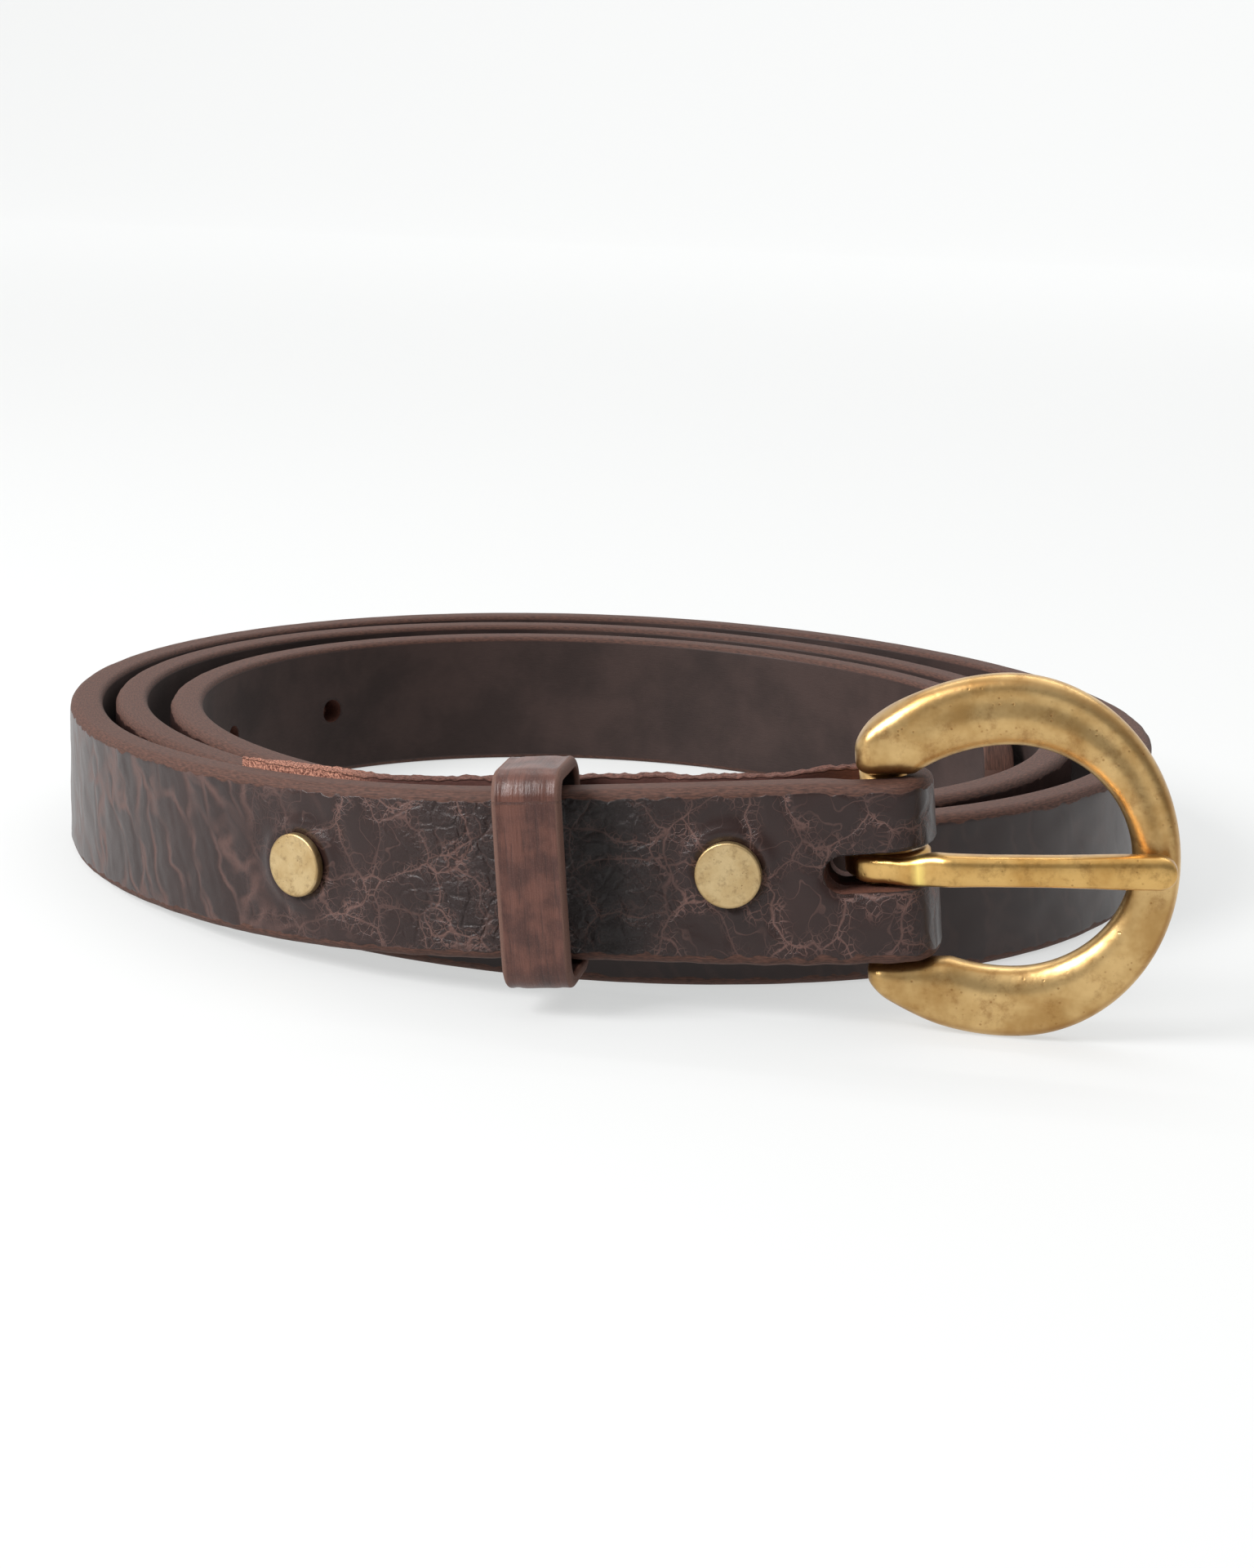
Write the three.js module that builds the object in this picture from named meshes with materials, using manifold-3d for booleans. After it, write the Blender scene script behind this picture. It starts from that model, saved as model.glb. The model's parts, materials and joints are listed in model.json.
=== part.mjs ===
// A narrow leather belt, coiled on its edge, with a one-piece brass horseshoe buckle.
// Millimetres, +Z up. The buckle faces -Y and its tongue points to +X.
//
// The strap is one length of leather. Its buckle end runs straight, folds round the bar of the
// buckle and turns back behind itself, where two double-cap rivets hold it. A leather loop, the
// keeper, slides along the doubled part between the rivets.
import * as THREE from 'three';
import { mergeVertices } from 'three/addons/utils/BufferGeometryUtils.js';
import Module from 'manifold-3d';

const wasm = await Module();
wasm.setup();

// ---------------------------------------------------------------- leather
const STRAP_WIDTH = 19;
const STRAP_THICKNESS = 4.2;
const STRAP_LENGTH = 1131;          // from the folded edge to the tip
const EDGE_BEVEL = 0.8;             // the bevelled and burnished corners
const BEVEL_SHARE = 0.3;            // the most of a thin layer that its bevel takes
const FOLD_THICKNESS = 2.5;         // the leather is thinned where it bends round the bar
const FOLD_SQUARENESS = 0.7;        // below 1 the front of the fold is square-shouldered
const TURN_BACK_THICKNESS = 2.0;
const TURN_BACK_END_THICKNESS = 0.8;
const TURN_BACK_MARGIN = 9.8;       // leather past the second rivet
const SKIVE_LENGTH = 5.5;           // the last stretch, pared to the end thickness
const TIP_LENGTH = 17;              // where the strap narrows to its rounded point
const TIP_NOSE = 0.16;              // how blunt the point is, as a share of the half width

// ---------------------------------------------------------------- holes
const BILLET_HOLES = 5;
const BILLET_HOLE_RADIUS = 1.7;
const BILLET_HOLE_PITCH = 25.4;
const LAST_HOLE_FROM_TIP = 128;
const RIVET_HOLE_RADIUS = 1.8;
const SLOT_CLEARANCE = 0.45;        // each side of the tongue
const SLOT_REACH = 6.4;             // how far the slot runs past the bar, into the front leather

// ---------------------------------------------------------------- brass
const BAR_RADIUS = 2.6;
const BAR_CLEARANCE = 0.3;          // between the bar and what wraps round it
const FRAME_ROOM = 2.8;             // above and below the strap, inside the opening
const FRAME_ARM = 7.7;              // how broad an arm is at the widest part
const FRAME_CENTRE = 13.5;          // from the bar to the widest part of the horseshoe
const FRAME_REACH = 31.4;           // from the bar to the far outer edge
const FRAME_OPENING_REACH = 26.3;   // from the bar to the far inner edge
const FRAME_HEEL = 2.6;             // how far the two heels stand behind the bar
const FRAME_SHOULDER = 22.5;        // semi-axis of the outer curve towards the heels
const FRAME_THROAT = 15.6;          // semi-axis of the inner curve towards the heels
const FRAME_DEPTH = 4.8;            // front to back, along the arms
const FRAME_FORWARD = 3.0;          // the arms' mid plane, in front of the bar
const HEEL_EXTRA_DEPTH = 2.2;       // the heels are deeper, to carry the bar
const HEEL_ROUNDING = 2;            // length over which a heel's end is rounded off
const HEEL_BLUNTNESS = 0.45;        // what is left of its section at the very end
const HEEL_CLEARANCE = 0.6;         // between the heels and the strap's edges
const BAR_INTO_HEEL = 3;
const TONGUE_WIDTH = 3.7;
const TONGUE_THICKNESS = 3.0;
const TONGUE_EYE_WALL = 1.8;
const TONGUE_SHORTFALL = 0.4;       // its tip stops this far inside the frame's outer edge
const TONGUE_BEND = 7.5;            // from the bar to where the tongue straightens
const TONGUE_DROOP = 1.3;           // how far its tip has sagged on the loose eye
const TONGUE_NOSE = 0.4;            // what is left of its section at the very tip
const TONGUE_SQUARENESS = 0.7;      // below 1 its section is a rounded rectangle

// ---------------------------------------------------------------- rivets
const RIVET_CAP_RADIUS = 3.65;
const RIVET_CAP_THICKNESS = 0.9;
const RIVET_TUBE_RADIUS = 1.5;
const RIVET_TUBE_WALL = 0.35;
const RIVET_STEM_CLEARANCE = 0.3;
const RIVET_SEAT_MARGIN = 1;        // flat leather past the edge of each cap
const RIVET_RIM = 0.25;             // the bevel round a cap
const FIRST_RIVET = 21.9;           // from the folded edge
const RIVET_SPACING = 50;

// ---------------------------------------------------------------- keeper
const KEEPER_WIDTH = 7.6;
const KEEPER_THICKNESS = 1.5;
const KEEPER_PLACE = 42.5;          // its middle, from the folded edge
const KEEPER_EDGE_ROOM = 1.25;      // above and below the strap, when centred on it
const KEEPER_RISE = 0.6;            // how far it has ridden up from the centre
const KEEPER_CORNER = 2.6;
const KEEPER_TRAVEL = 9;            // towards the buckle

const CLEARANCE = 0.3;              // between pieces that lie against each other
const LAYER_PINCH = 0.4;            // between the two leather layers at the rivets

// ---------------------------------------------------------------- the coil
// The plan of the coil is a radius at every eighth of a turn, clockwise seen from above and
// starting at the front, joined by a smooth cubic curve. Each further turn lies inside the one
// before it, by the leather's thickness and the air between them.
const STATIONS = 8;
const FIRST_TURN = [73.8, 59.5, 63.8, 68.3, 77, 75.7, 78, 72.5];
const APPROACH_RADIUS = 77.5;       // the station before the first, which turns the lead outwards
const SECOND_TURN_AIR = [4, 1.6, 1.8, 1.2, 6.0, 6.6, 6.8, 3.7]; // and the turn-back, at the front
const THIRD_TURN_AIR = [0.6, 0.5, 3.6, 5.5, 6.6, 3.6, 1.4, 1.2];
const LEAD = 43.5;                  // the straight, doubled part, from the folded edge
const LIFT_END = 125;               // where the strap comes down to the floor
const LIFT_POWER = 1.5;

// ---------------------------------------------------------------- mesh resolution
const COIL_STEP = 4;
const LEAD_STEP = 5;
const TURN_BACK_STEP = 2.5;
const FOLD_STEPS = 10;
const TRACE_STEP = 0.01;
const TIP_STEPS = 10;
const ROUND_SEGMENTS = 24;
const EYE_SEGMENTS = 32;
const FRAME_SEGMENTS = 14;
const LEG_STEPS = 12;
const BOW_STEPS = 26;
const TONGUE_STEPS = 22;
const TONGUE_SEGMENTS = 12;
const TANGENT_REACH = 0.5;          // half the stretch a direction is measured over
const PAST = 2;                     // how far a cutter runs past the leather

// ================================================================ sizes that follow
const FOLD_EDGE = BAR_RADIUS + BAR_CLEARANCE + FOLD_THICKNESS;
const SECOND_RIVET = FIRST_RIVET + RIVET_SPACING;
const TURN_BACK_LENGTH = SECOND_RIVET + TURN_BACK_MARGIN;
const KEEPER_GAP = KEEPER_THICKNESS + 2 * CLEARANCE;
const FACE_FORWARD = BAR_RADIUS + BAR_CLEARANCE + STRAP_THICKNESS;
const BACK_STACK = KEEPER_GAP + TURN_BACK_THICKNESS;
const FRAME_OPENING_HEIGHT = STRAP_WIDTH + 2 * FRAME_ROOM;
const FRAME_HEIGHT = FRAME_OPENING_HEIGHT + 2 * FRAME_ARM;
const LIFT = (FRAME_HEIGHT - STRAP_WIDTH) / 2
  / (1 + FRAME_CENTRE * LIFT_POWER / (LIFT_END - FOLD_EDGE));

// ================================================================ helpers
const smooth = (a, b, x) => THREE.MathUtils.smoothstep(x, a, b);

// A quarter-ellipse from a blunt end, at t = 0, to the full section, at t = 1.
const rounded = (bluntness, t) => bluntness + (1 - bluntness) * Math.sqrt(1 - (1 - t) ** 2);

function toManifold(geometry) {
  const bare = geometry.clone();
  bare.deleteAttribute('normal');
  bare.deleteAttribute('uv');
  const merged = mergeVertices(bare, 1e-4);
  return new wasm.Manifold(new wasm.Mesh({
    numProp: 3,
    vertProperties: new Float32Array(merged.attributes.position.array),
    triVerts: new Uint32Array(merged.index.array),
  }));
}

function toGeometry(manifold) {
  const mesh = manifold.getMesh();
  const geometry = new THREE.BufferGeometry();
  geometry.setAttribute('position', new THREE.BufferAttribute(mesh.vertProperties, 3));
  geometry.setIndex(new THREE.BufferAttribute(mesh.triVerts, 1));
  geometry.computeVertexNormals();
  return geometry;
}

// A closed skin over a row of rings that all have the same number of points.
function loft(rings) {
  const count = rings[0].length;
  const points = rings.flat();
  const triangles = [];
  for (let i = 0; i + 1 < rings.length; i++) {
    for (let j = 0; j < count; j++) {
      const a = i * count + j;
      const b = i * count + (j + 1) % count;
      triangles.push(a, b, b + count, a, b + count, a + count);
    }
  }
  const closeEnd = (first, flip) => {
    const ring = points.slice(first, first + count);
    const middle = ring.reduce((sum, p) => sum.add(p), new THREE.Vector3()).divideScalar(count);
    points.push(middle);
    for (let j = 0; j < count; j++) {
      const a = first + j;
      const b = first + (j + 1) % count;
      triangles.push(...(flip ? [points.length - 1, b, a] : [points.length - 1, a, b]));
    }
  };
  closeEnd(0, true);
  closeEnd((rings.length - 1) * count, false);
  let volume = 0;
  for (let t = 0; t < triangles.length; t += 3) {
    const [a, b, c] = [0, 1, 2].map((k) => points[triangles[t + k]]);
    volume += a.dot(new THREE.Vector3().crossVectors(b, c));
  }
  if (volume < 0) {
    triangles.reverse();
  }
  const geometry = new THREE.BufferGeometry().setFromPoints(points);
  geometry.setIndex(triangles);
  geometry.computeVertexNormals();
  return geometry;
}

// ================================================================ the strap's path
function stationRadius(k) {
  if (k < 0) {
    return APPROACH_RADIUS;
  }
  const turn = Math.floor(k / STATIONS);
  const station = k % STATIONS;
  let radius = FIRST_TURN[station];
  for (let t = 1; t <= turn; t++) {
    const air = t === 1 ? SECOND_TURN_AIR : THIRD_TURN_AIR;
    const stack = t === 1 && station === 0 ? BACK_STACK : 0;
    radius -= STRAP_THICKNESS + stack + air[station];
  }
  return radius;
}

// Uniform cubic B-spline through the stations: q counts eighths of a turn from the front.
function coilRadius(q) {
  const k = Math.floor(q);
  const t = q - k;
  const weights = [
    (1 - t) ** 3,
    3 * t ** 3 - 6 * t ** 2 + 4,
    -3 * t ** 3 + 3 * t ** 2 + 3 * t + 1,
    t ** 3,
  ];
  return weights.reduce((sum, w, i) => sum + w * stationRadius(k - 1 + i), 0) / 6;
}

// The coil is turned so that the lead runs along X.
const STATION_ANGLE = 2 * Math.PI / STATIONS;
const START_SLOPE = (stationRadius(1) - stationRadius(-1)) / 2 / STATION_ANGLE;
const LEAD_TURN = Math.atan2(-START_SLOPE, coilRadius(0));

function coilPoint(q) {
  const angle = q * STATION_ANGLE - LEAD_TURN;
  return new THREE.Vector2(-Math.sin(angle), -Math.cos(angle)).multiplyScalar(coilRadius(q));
}

// The middle of the leather in plan, as closely spaced points with their distance from the fold.
const trace = [{ s: LEAD, p: coilPoint(0) }];
for (let q = TRACE_STEP; trace.at(-1).s < STRAP_LENGTH + COIL_STEP; q += TRACE_STEP) {
  const p = coilPoint(q);
  trace.push({ s: trace.at(-1).s + p.distanceTo(trace.at(-1).p), p });
}

function planPoint(s) {
  const lead = trace[0].p;
  if (s <= LEAD) {
    return new THREE.Vector2(lead.x + LEAD - s, lead.y);
  }
  let low = 0;
  let high = trace.length - 1;
  while (high - low > 1) {
    const middle = (low + high) >> 1;
    if (trace[middle].s > s) {
      high = middle;
    } else {
      low = middle;
    }
  }
  const t = (s - trace[low].s) / (trace[high].s - trace[low].s);
  return trace[low].p.clone().lerp(trace[high].p, t);
}

const liftAt = (s) => LIFT * Math.max(0, (LIFT_END - s) / (LIFT_END - FOLD_EDGE)) ** LIFT_POWER;

// The strap's own directions at a distance from the fold: along it, out of its face, and up.
function frameAt(s) {
  const a = planPoint(s - TANGENT_REACH);
  const b = planPoint(s + TANGENT_REACH);
  const onStrap = Math.max(FOLD_EDGE, s);
  const rise = liftAt(onStrap + TANGENT_REACH) - liftAt(onStrap);
  const along = new THREE.Vector3(b.x - a.x, b.y - a.y, 0).normalize();
  const out = new THREE.Vector3(-along.y, along.x, 0);
  along.z = rise / TANGENT_REACH;
  along.normalize();
  const up = new THREE.Vector3().crossVectors(out, along).negate();
  if (up.z < 0) {
    up.negate();
  }
  const p = planPoint(s);
  return { at: new THREE.Vector3(p.x, p.y, STRAP_WIDTH / 2 + liftAt(s)), along, out, up };
}

// ================================================================ the bar's own frame
// u runs from the bar towards the far side of the buckle, v towards the viewer, w up the bar.
const atBar = frameAt(FOLD_EDGE);
const U = atBar.along.clone().negate();
const V = atBar.out;
const W = atBar.up;
const BAR = atBar.at.clone().addScaledVector(V, -(FACE_FORWARD - STRAP_THICKNESS / 2));

function fromBar(u, v, w) {
  return BAR.clone().addScaledVector(U, u).addScaledVector(V, v).addScaledVector(W, w);
}

// Moves a geometry made in plain x, y, z into three directions at a point.
function place(geometry, origin, x, y, z) {
  const matrix = new THREE.Matrix4().makeBasis(x, y, z).setPosition(origin);
  if (matrix.determinant() < 0) {
    throw new Error('a left-handed frame would turn the piece inside out');
  }
  return geometry.applyMatrix4(matrix);
}

// ================================================================ strap
// One section of leather between an outer and an inner point, with bevelled corners.
function leatherSection(outer, inner, up, halfWidth) {
  const across = inner.clone().sub(outer);
  const thickness = across.length();
  const bevel = Math.min(EDGE_BEVEL, thickness * BEVEL_SHARE, halfWidth * BEVEL_SHARE);
  across.normalize();
  const corner = (base, direction, side) => [
    base.clone().addScaledVector(up, side * (halfWidth - bevel)),
    base.clone().addScaledVector(across, direction * bevel).addScaledVector(up, side * halfWidth),
  ];
  const [outerTopFace, outerTopEdge] = corner(outer, 1, 1);
  const [innerTopFace, innerTopEdge] = corner(inner, -1, 1);
  const [outerLowFace, outerLowEdge] = corner(outer, 1, -1);
  const [innerLowFace, innerLowEdge] = corner(inner, -1, -1);
  return [outerLowFace, outerTopFace, outerTopEdge, innerTopEdge,
    innerTopFace, innerLowFace, innerLowEdge, outerLowEdge];
}

function mainSection(s) {
  const { at, out, up } = frameAt(s);
  const outer = at.clone().addScaledVector(out, STRAP_THICKNESS / 2);
  const inner = at.clone().addScaledVector(out, -STRAP_THICKNESS / 2);
  const left = Math.max(0, (STRAP_LENGTH - s) / TIP_LENGTH);
  const width = rounded(TIP_NOSE, Math.min(1, left));
  return leatherSection(outer, inner, up, width * STRAP_WIDTH / 2);
}

function layerGap(s) {
  const atTheBar = 2 * (BAR_RADIUS + BAR_CLEARANCE);
  const rivetEdge = RIVET_CAP_RADIUS + RIVET_SEAT_MARGIN;
  const open = 1 - smooth(FOLD_EDGE, FIRST_RIVET - rivetEdge, s);
  const keeperNearest = KEEPER_PLACE - KEEPER_TRAVEL - KEEPER_WIDTH / 2;
  const keeperStart = smooth(FIRST_RIVET + rivetEdge, keeperNearest, s);
  const keeperEnd = smooth(KEEPER_PLACE + KEEPER_WIDTH, SECOND_RIVET - rivetEdge, s);
  return LAYER_PINCH + (atTheBar - LAYER_PINCH) * open
    + (KEEPER_GAP - LAYER_PINCH) * keeperStart * (1 - keeperEnd);
}

function turnBackThickness(s) {
  const skive = smooth(TURN_BACK_LENGTH - SKIVE_LENGTH, TURN_BACK_LENGTH, s);
  return THREE.MathUtils.lerp(TURN_BACK_THICKNESS, TURN_BACK_END_THICKNESS, skive);
}

function turnBackSection(s) {
  const { at, out, up } = frameAt(s);
  const near = STRAP_THICKNESS / 2 + layerGap(s);
  const inner = at.clone().addScaledVector(out, -near);
  const outer = at.clone().addScaledVector(out, -near - turnBackThickness(s));
  return leatherSection(outer, inner, up, STRAP_WIDTH / 2);
}

// The bend round the bar: the outside is square-shouldered at the front and round at the back.
function foldSection(angle) {
  const c = Math.cos(angle);
  const s = Math.sin(angle);
  const seat = BAR_RADIUS + BAR_CLEARANCE;
  const shoulder = s > 0 ? FOLD_SQUARENESS : 1;
  const depth = s > 0 ? FACE_FORWARD : seat + TURN_BACK_THICKNESS;
  const v = Math.sign(s) * depth * Math.abs(s) ** shoulder;
  const outer = fromBar(FOLD_EDGE * c ** shoulder, v, 0);
  return leatherSection(outer, fromBar(seat * c, seat * s, 0), W, STRAP_WIDTH / 2);
}

function strapGeometry() {
  const rings = [];
  for (let s = STRAP_LENGTH; s > STRAP_LENGTH - TIP_LENGTH; s -= TIP_LENGTH / TIP_STEPS) {
    rings.push(mainSection(s));
  }
  const coilSteps = Math.ceil((STRAP_LENGTH - TIP_LENGTH - LEAD) / COIL_STEP);
  for (let i = 0; i <= coilSteps; i++) {
    rings.push(mainSection(THREE.MathUtils.lerp(STRAP_LENGTH - TIP_LENGTH, LEAD, i / coilSteps)));
  }
  for (let s = LEAD - LEAD_STEP; s > FOLD_EDGE; s -= LEAD_STEP) {
    rings.push(mainSection(s));
  }
  for (let i = 0; i <= FOLD_STEPS; i++) {
    rings.push(foldSection(Math.PI / 2 - Math.PI * i / FOLD_STEPS));
  }
  const backSteps = Math.ceil((TURN_BACK_LENGTH - FOLD_EDGE) / TURN_BACK_STEP);
  for (let i = 1; i <= backSteps; i++) {
    rings.push(turnBackSection(THREE.MathUtils.lerp(FOLD_EDGE, TURN_BACK_LENGTH, i / backSteps)));
  }
  return loft(rings);
}

// A round drill through the leather at a distance from the fold, between two depths.
function drill(s, radius, front, back) {
  const { at, along, out, up } = frameAt(s);
  const cutter = new THREE.CylinderGeometry(radius, radius, front - back, ROUND_SEGMENTS);
  const centre = at.clone().addScaledVector(out, (front + back) / 2);
  return place(cutter, centre, up, out, new THREE.Vector3().crossVectors(up, out));
}

function slotCutter() {
  const half = TONGUE_WIDTH / 2 + SLOT_CLEARANCE;
  const past = FOLD_EDGE + PAST;
  const outline = new THREE.Shape();
  outline.moveTo(past, -half);
  outline.lineTo(past, half);
  outline.lineTo(half - SLOT_REACH, half);
  outline.absarc(half - SLOT_REACH, 0, half, Math.PI / 2, 3 * Math.PI / 2, false);
  const depth = 2 * (FACE_FORWARD + PAST);
  const cutter = new THREE.ExtrudeGeometry(outline, { depth, bevelEnabled: false });
  cutter.translate(0, 0, -depth / 2);
  return place(cutter, BAR, U, W, new THREE.Vector3().crossVectors(U, W));
}

function strap() {
  let solid = toManifold(strapGeometry());
  const cuts = [slotCutter()];
  const front = STRAP_THICKNESS / 2 + PAST;
  for (const s of [FIRST_RIVET, SECOND_RIVET]) {
    const back = -(STRAP_THICKNESS / 2 + LAYER_PINCH + TURN_BACK_THICKNESS + PAST);
    cuts.push(drill(s, RIVET_HOLE_RADIUS, front, back));
  }
  for (let i = 0; i < BILLET_HOLES; i++) {
    const s = STRAP_LENGTH - LAST_HOLE_FROM_TIP - i * BILLET_HOLE_PITCH;
    cuts.push(drill(s, BILLET_HOLE_RADIUS, front, -front));
  }
  for (const cut of cuts) {
    solid = solid.subtract(toManifold(cut));
  }
  return toGeometry(solid);
}

// ================================================================ buckle frame
// One section across an arm, from the opening to the outer edge, in the plane of the buckle.
function armSection(near, far, forward, depth, scale) {
  const middle = near.clone().add(far).divideScalar(2);
  const half = far.clone().sub(near).divideScalar(2).multiplyScalar(scale);
  const ring = [];
  for (let i = 0; i < FRAME_SEGMENTS; i++) {
    const angle = 2 * Math.PI * i / FRAME_SEGMENTS;
    const p = middle.clone().addScaledVector(half, Math.cos(angle));
    ring.push(fromBar(p.x, forward + scale * depth / 2 * Math.sin(angle), p.y));
  }
  return ring;
}

function frameArms() {
  const outerHalf = FRAME_HEIGHT / 2;
  const innerHalf = FRAME_OPENING_HEIGHT / 2;
  const heelInner = STRAP_WIDTH / 2 + HEEL_CLEARANCE;
  const ellipse = (half, reach, x) => half * Math.sqrt(Math.max(0, 1 - (x / reach) ** 2));
  const leg = (side) => {
    const rings = [];
    for (let i = 0; i < LEG_STEPS; i++) {
      const t = (i / LEG_STEPS) ** 1.6; // closer together at the heel
      const u = THREE.MathUtils.lerp(-FRAME_HEEL, FRAME_CENTRE, t);
      const back = FRAME_CENTRE - u;
      const near = Math.max(heelInner, ellipse(innerHalf, FRAME_THROAT, back));
      const far = ellipse(outerHalf, FRAME_SHOULDER, back);
      const heel = 1 - smooth(0, FRAME_HEEL * 2, u);
      const fromEnd = Math.min(1, (u + FRAME_HEEL) / HEEL_ROUNDING);
      const scale = rounded(HEEL_BLUNTNESS, fromEnd);
      const forward = FRAME_FORWARD - heel * HEEL_EXTRA_DEPTH / 2;
      const inside = new THREE.Vector2(u, side * near);
      const outside = new THREE.Vector2(u, side * far);
      rings.push(armSection(inside, outside, forward, FRAME_DEPTH + heel * HEEL_EXTRA_DEPTH, scale));
    }
    return rings;
  };
  const bow = [];
  for (let i = 0; i <= BOW_STEPS; i++) {
    const angle = Math.PI / 2 - Math.PI * i / BOW_STEPS;
    const point = (reach, half) => new THREE.Vector2(
      FRAME_CENTRE + (reach - FRAME_CENTRE) * Math.cos(angle), half * Math.sin(angle));
    const inside = point(FRAME_OPENING_REACH, innerHalf);
    const outside = point(FRAME_REACH, outerHalf);
    bow.push(armSection(inside, outside, FRAME_FORWARD, FRAME_DEPTH, 1));
  }
  return loft([...leg(1), ...bow, ...leg(-1).reverse()]);
}

function buckleFrame() {
  const length = STRAP_WIDTH + 2 * (HEEL_CLEARANCE + BAR_INTO_HEEL);
  const bar = new THREE.CylinderGeometry(BAR_RADIUS, BAR_RADIUS, length, ROUND_SEGMENTS);
  place(bar, BAR, U, W, new THREE.Vector3().crossVectors(U, W));
  return toGeometry(toManifold(frameArms()).add(toManifold(bar)));
}

// ================================================================ tongue
const square = (x) => Math.sign(x) * Math.abs(x) ** TONGUE_SQUARENESS;

function tongue() {
  const eyeInner = BAR_RADIUS + BAR_CLEARANCE;
  const eyeOuter = eyeInner + TONGUE_EYE_WALL;
  const halfWidth = TONGUE_WIDTH / 2;
  const profile = [
    new THREE.Vector2(eyeInner, -halfWidth),
    new THREE.Vector2(eyeOuter, -halfWidth),
    new THREE.Vector2(eyeOuter, halfWidth),
    new THREE.Vector2(eyeInner, halfWidth),
    new THREE.Vector2(eyeInner, -halfWidth),
  ];
  const lathe = new THREE.LatheGeometry(profile, EYE_SEGMENTS);
  const eye = place(lathe, BAR, U, W, new THREE.Vector3().crossVectors(U, W));
  const half = TONGUE_THICKNESS / 2;
  const end = FRAME_REACH - TONGUE_SHORTFALL;
  const resting = FRAME_FORWARD + FRAME_DEPTH / 2 + CLEARANCE + half;
  const start = (eyeInner + eyeOuter) / 2;
  const rings = [];
  for (let i = 0; i <= TONGUE_STEPS; i++) {
    const u = end * (i / TONGUE_STEPS);
    const along = smooth(0, TONGUE_BEND, u);
    const v = THREE.MathUtils.lerp(start, resting, along);
    const scale = rounded(TONGUE_NOSE, Math.min(1, (end - u) / half));
    const root = THREE.MathUtils.lerp(TONGUE_EYE_WALL / TONGUE_THICKNESS, 1, along);
    const ring = [];
    for (let j = 0; j < TONGUE_SEGMENTS; j++) {
      const angle = 2 * Math.PI * (j + 0.5) / TONGUE_SEGMENTS;
      const depth = scale * root * half * square(Math.sin(angle));
      const height = scale * halfWidth * square(Math.cos(angle));
      ring.push(fromBar(u, v + depth, height - TONGUE_DROOP * u / end));
    }
    rings.push(ring);
  }
  return toGeometry(toManifold(eye).add(toManifold(loft(rings))));
}

// ================================================================ keeper
function roundedRectangle(shape, low, high, halfHeight, radius) {
  shape.moveTo(low + radius, -halfHeight);
  shape.lineTo(high - radius, -halfHeight);
  shape.absarc(high - radius, radius - halfHeight, radius, -Math.PI / 2, 0, false);
  shape.lineTo(high, halfHeight - radius);
  shape.absarc(high - radius, halfHeight - radius, radius, 0, Math.PI / 2, false);
  shape.lineTo(low + radius, halfHeight);
  shape.absarc(low + radius, halfHeight - radius, radius, Math.PI / 2, Math.PI, false);
  shape.lineTo(low, radius - halfHeight);
  shape.absarc(low + radius, radius - halfHeight, radius, Math.PI, 3 * Math.PI / 2, false);
  return shape;
}

// The loop holds the strap and leaves room in front of it for the free end to pass through.
function keeper() {
  const back = -STRAP_THICKNESS / 2 - CLEARANCE;
  const front = STRAP_THICKNESS * 1.5 + CLEARANCE;
  const innerHalf = STRAP_WIDTH / 2 + KEEPER_EDGE_ROOM;
  const t = KEEPER_THICKNESS;
  const shape = roundedRectangle(new THREE.Shape(), back - t, front + t, innerHalf + t, KEEPER_CORNER);
  shape.holes.push(roundedRectangle(new THREE.Path(), back, front, innerHalf, KEEPER_CORNER - t));
  const settings = { depth: KEEPER_WIDTH, bevelEnabled: false, curveSegments: 6 };
  const band = new THREE.ExtrudeGeometry(shape, settings);
  band.translate(0, 0, -KEEPER_WIDTH / 2);
  const { at, out, up } = frameAt(KEEPER_PLACE);
  at.addScaledVector(up, KEEPER_RISE);
  place(band, at, out, up, new THREE.Vector3().crossVectors(out, up));
  return toGeometry(toManifold(band));
}

// ================================================================ rivets
// Lathe profiles turn about their own Y, which points out of the strap's face.
function turned(profile, s) {
  const { at, out, up } = frameAt(s);
  const points = profile.map(([r, y]) => new THREE.Vector2(r, y));
  const geometry = new THREE.LatheGeometry(points, ROUND_SEGMENTS);
  place(geometry, at, up, out, new THREE.Vector3().crossVectors(up, out));
  return toGeometry(toManifold(geometry));
}

const flat = RIVET_CAP_RADIUS - RIVET_RIM;
const FRONT_SEAT = STRAP_THICKNESS / 2 + CLEARANCE;
const BACK_SEAT = -(STRAP_THICKNESS / 2 + LAYER_PINCH + TURN_BACK_THICKNESS + CLEARANCE);

function rivetCap(s) {
  const top = FRONT_SEAT + RIVET_CAP_THICKNESS;
  const stem = RIVET_TUBE_RADIUS - RIVET_TUBE_WALL - RIVET_STEM_CLEARANCE;
  return turned([
    [0, BACK_SEAT + CLEARANCE], [stem, BACK_SEAT + CLEARANCE], [stem, FRONT_SEAT],
    [flat, FRONT_SEAT], [RIVET_CAP_RADIUS, FRONT_SEAT + RIVET_RIM],
    [RIVET_CAP_RADIUS, top - RIVET_RIM], [flat, top], [0, top],
  ], s);
}

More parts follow.
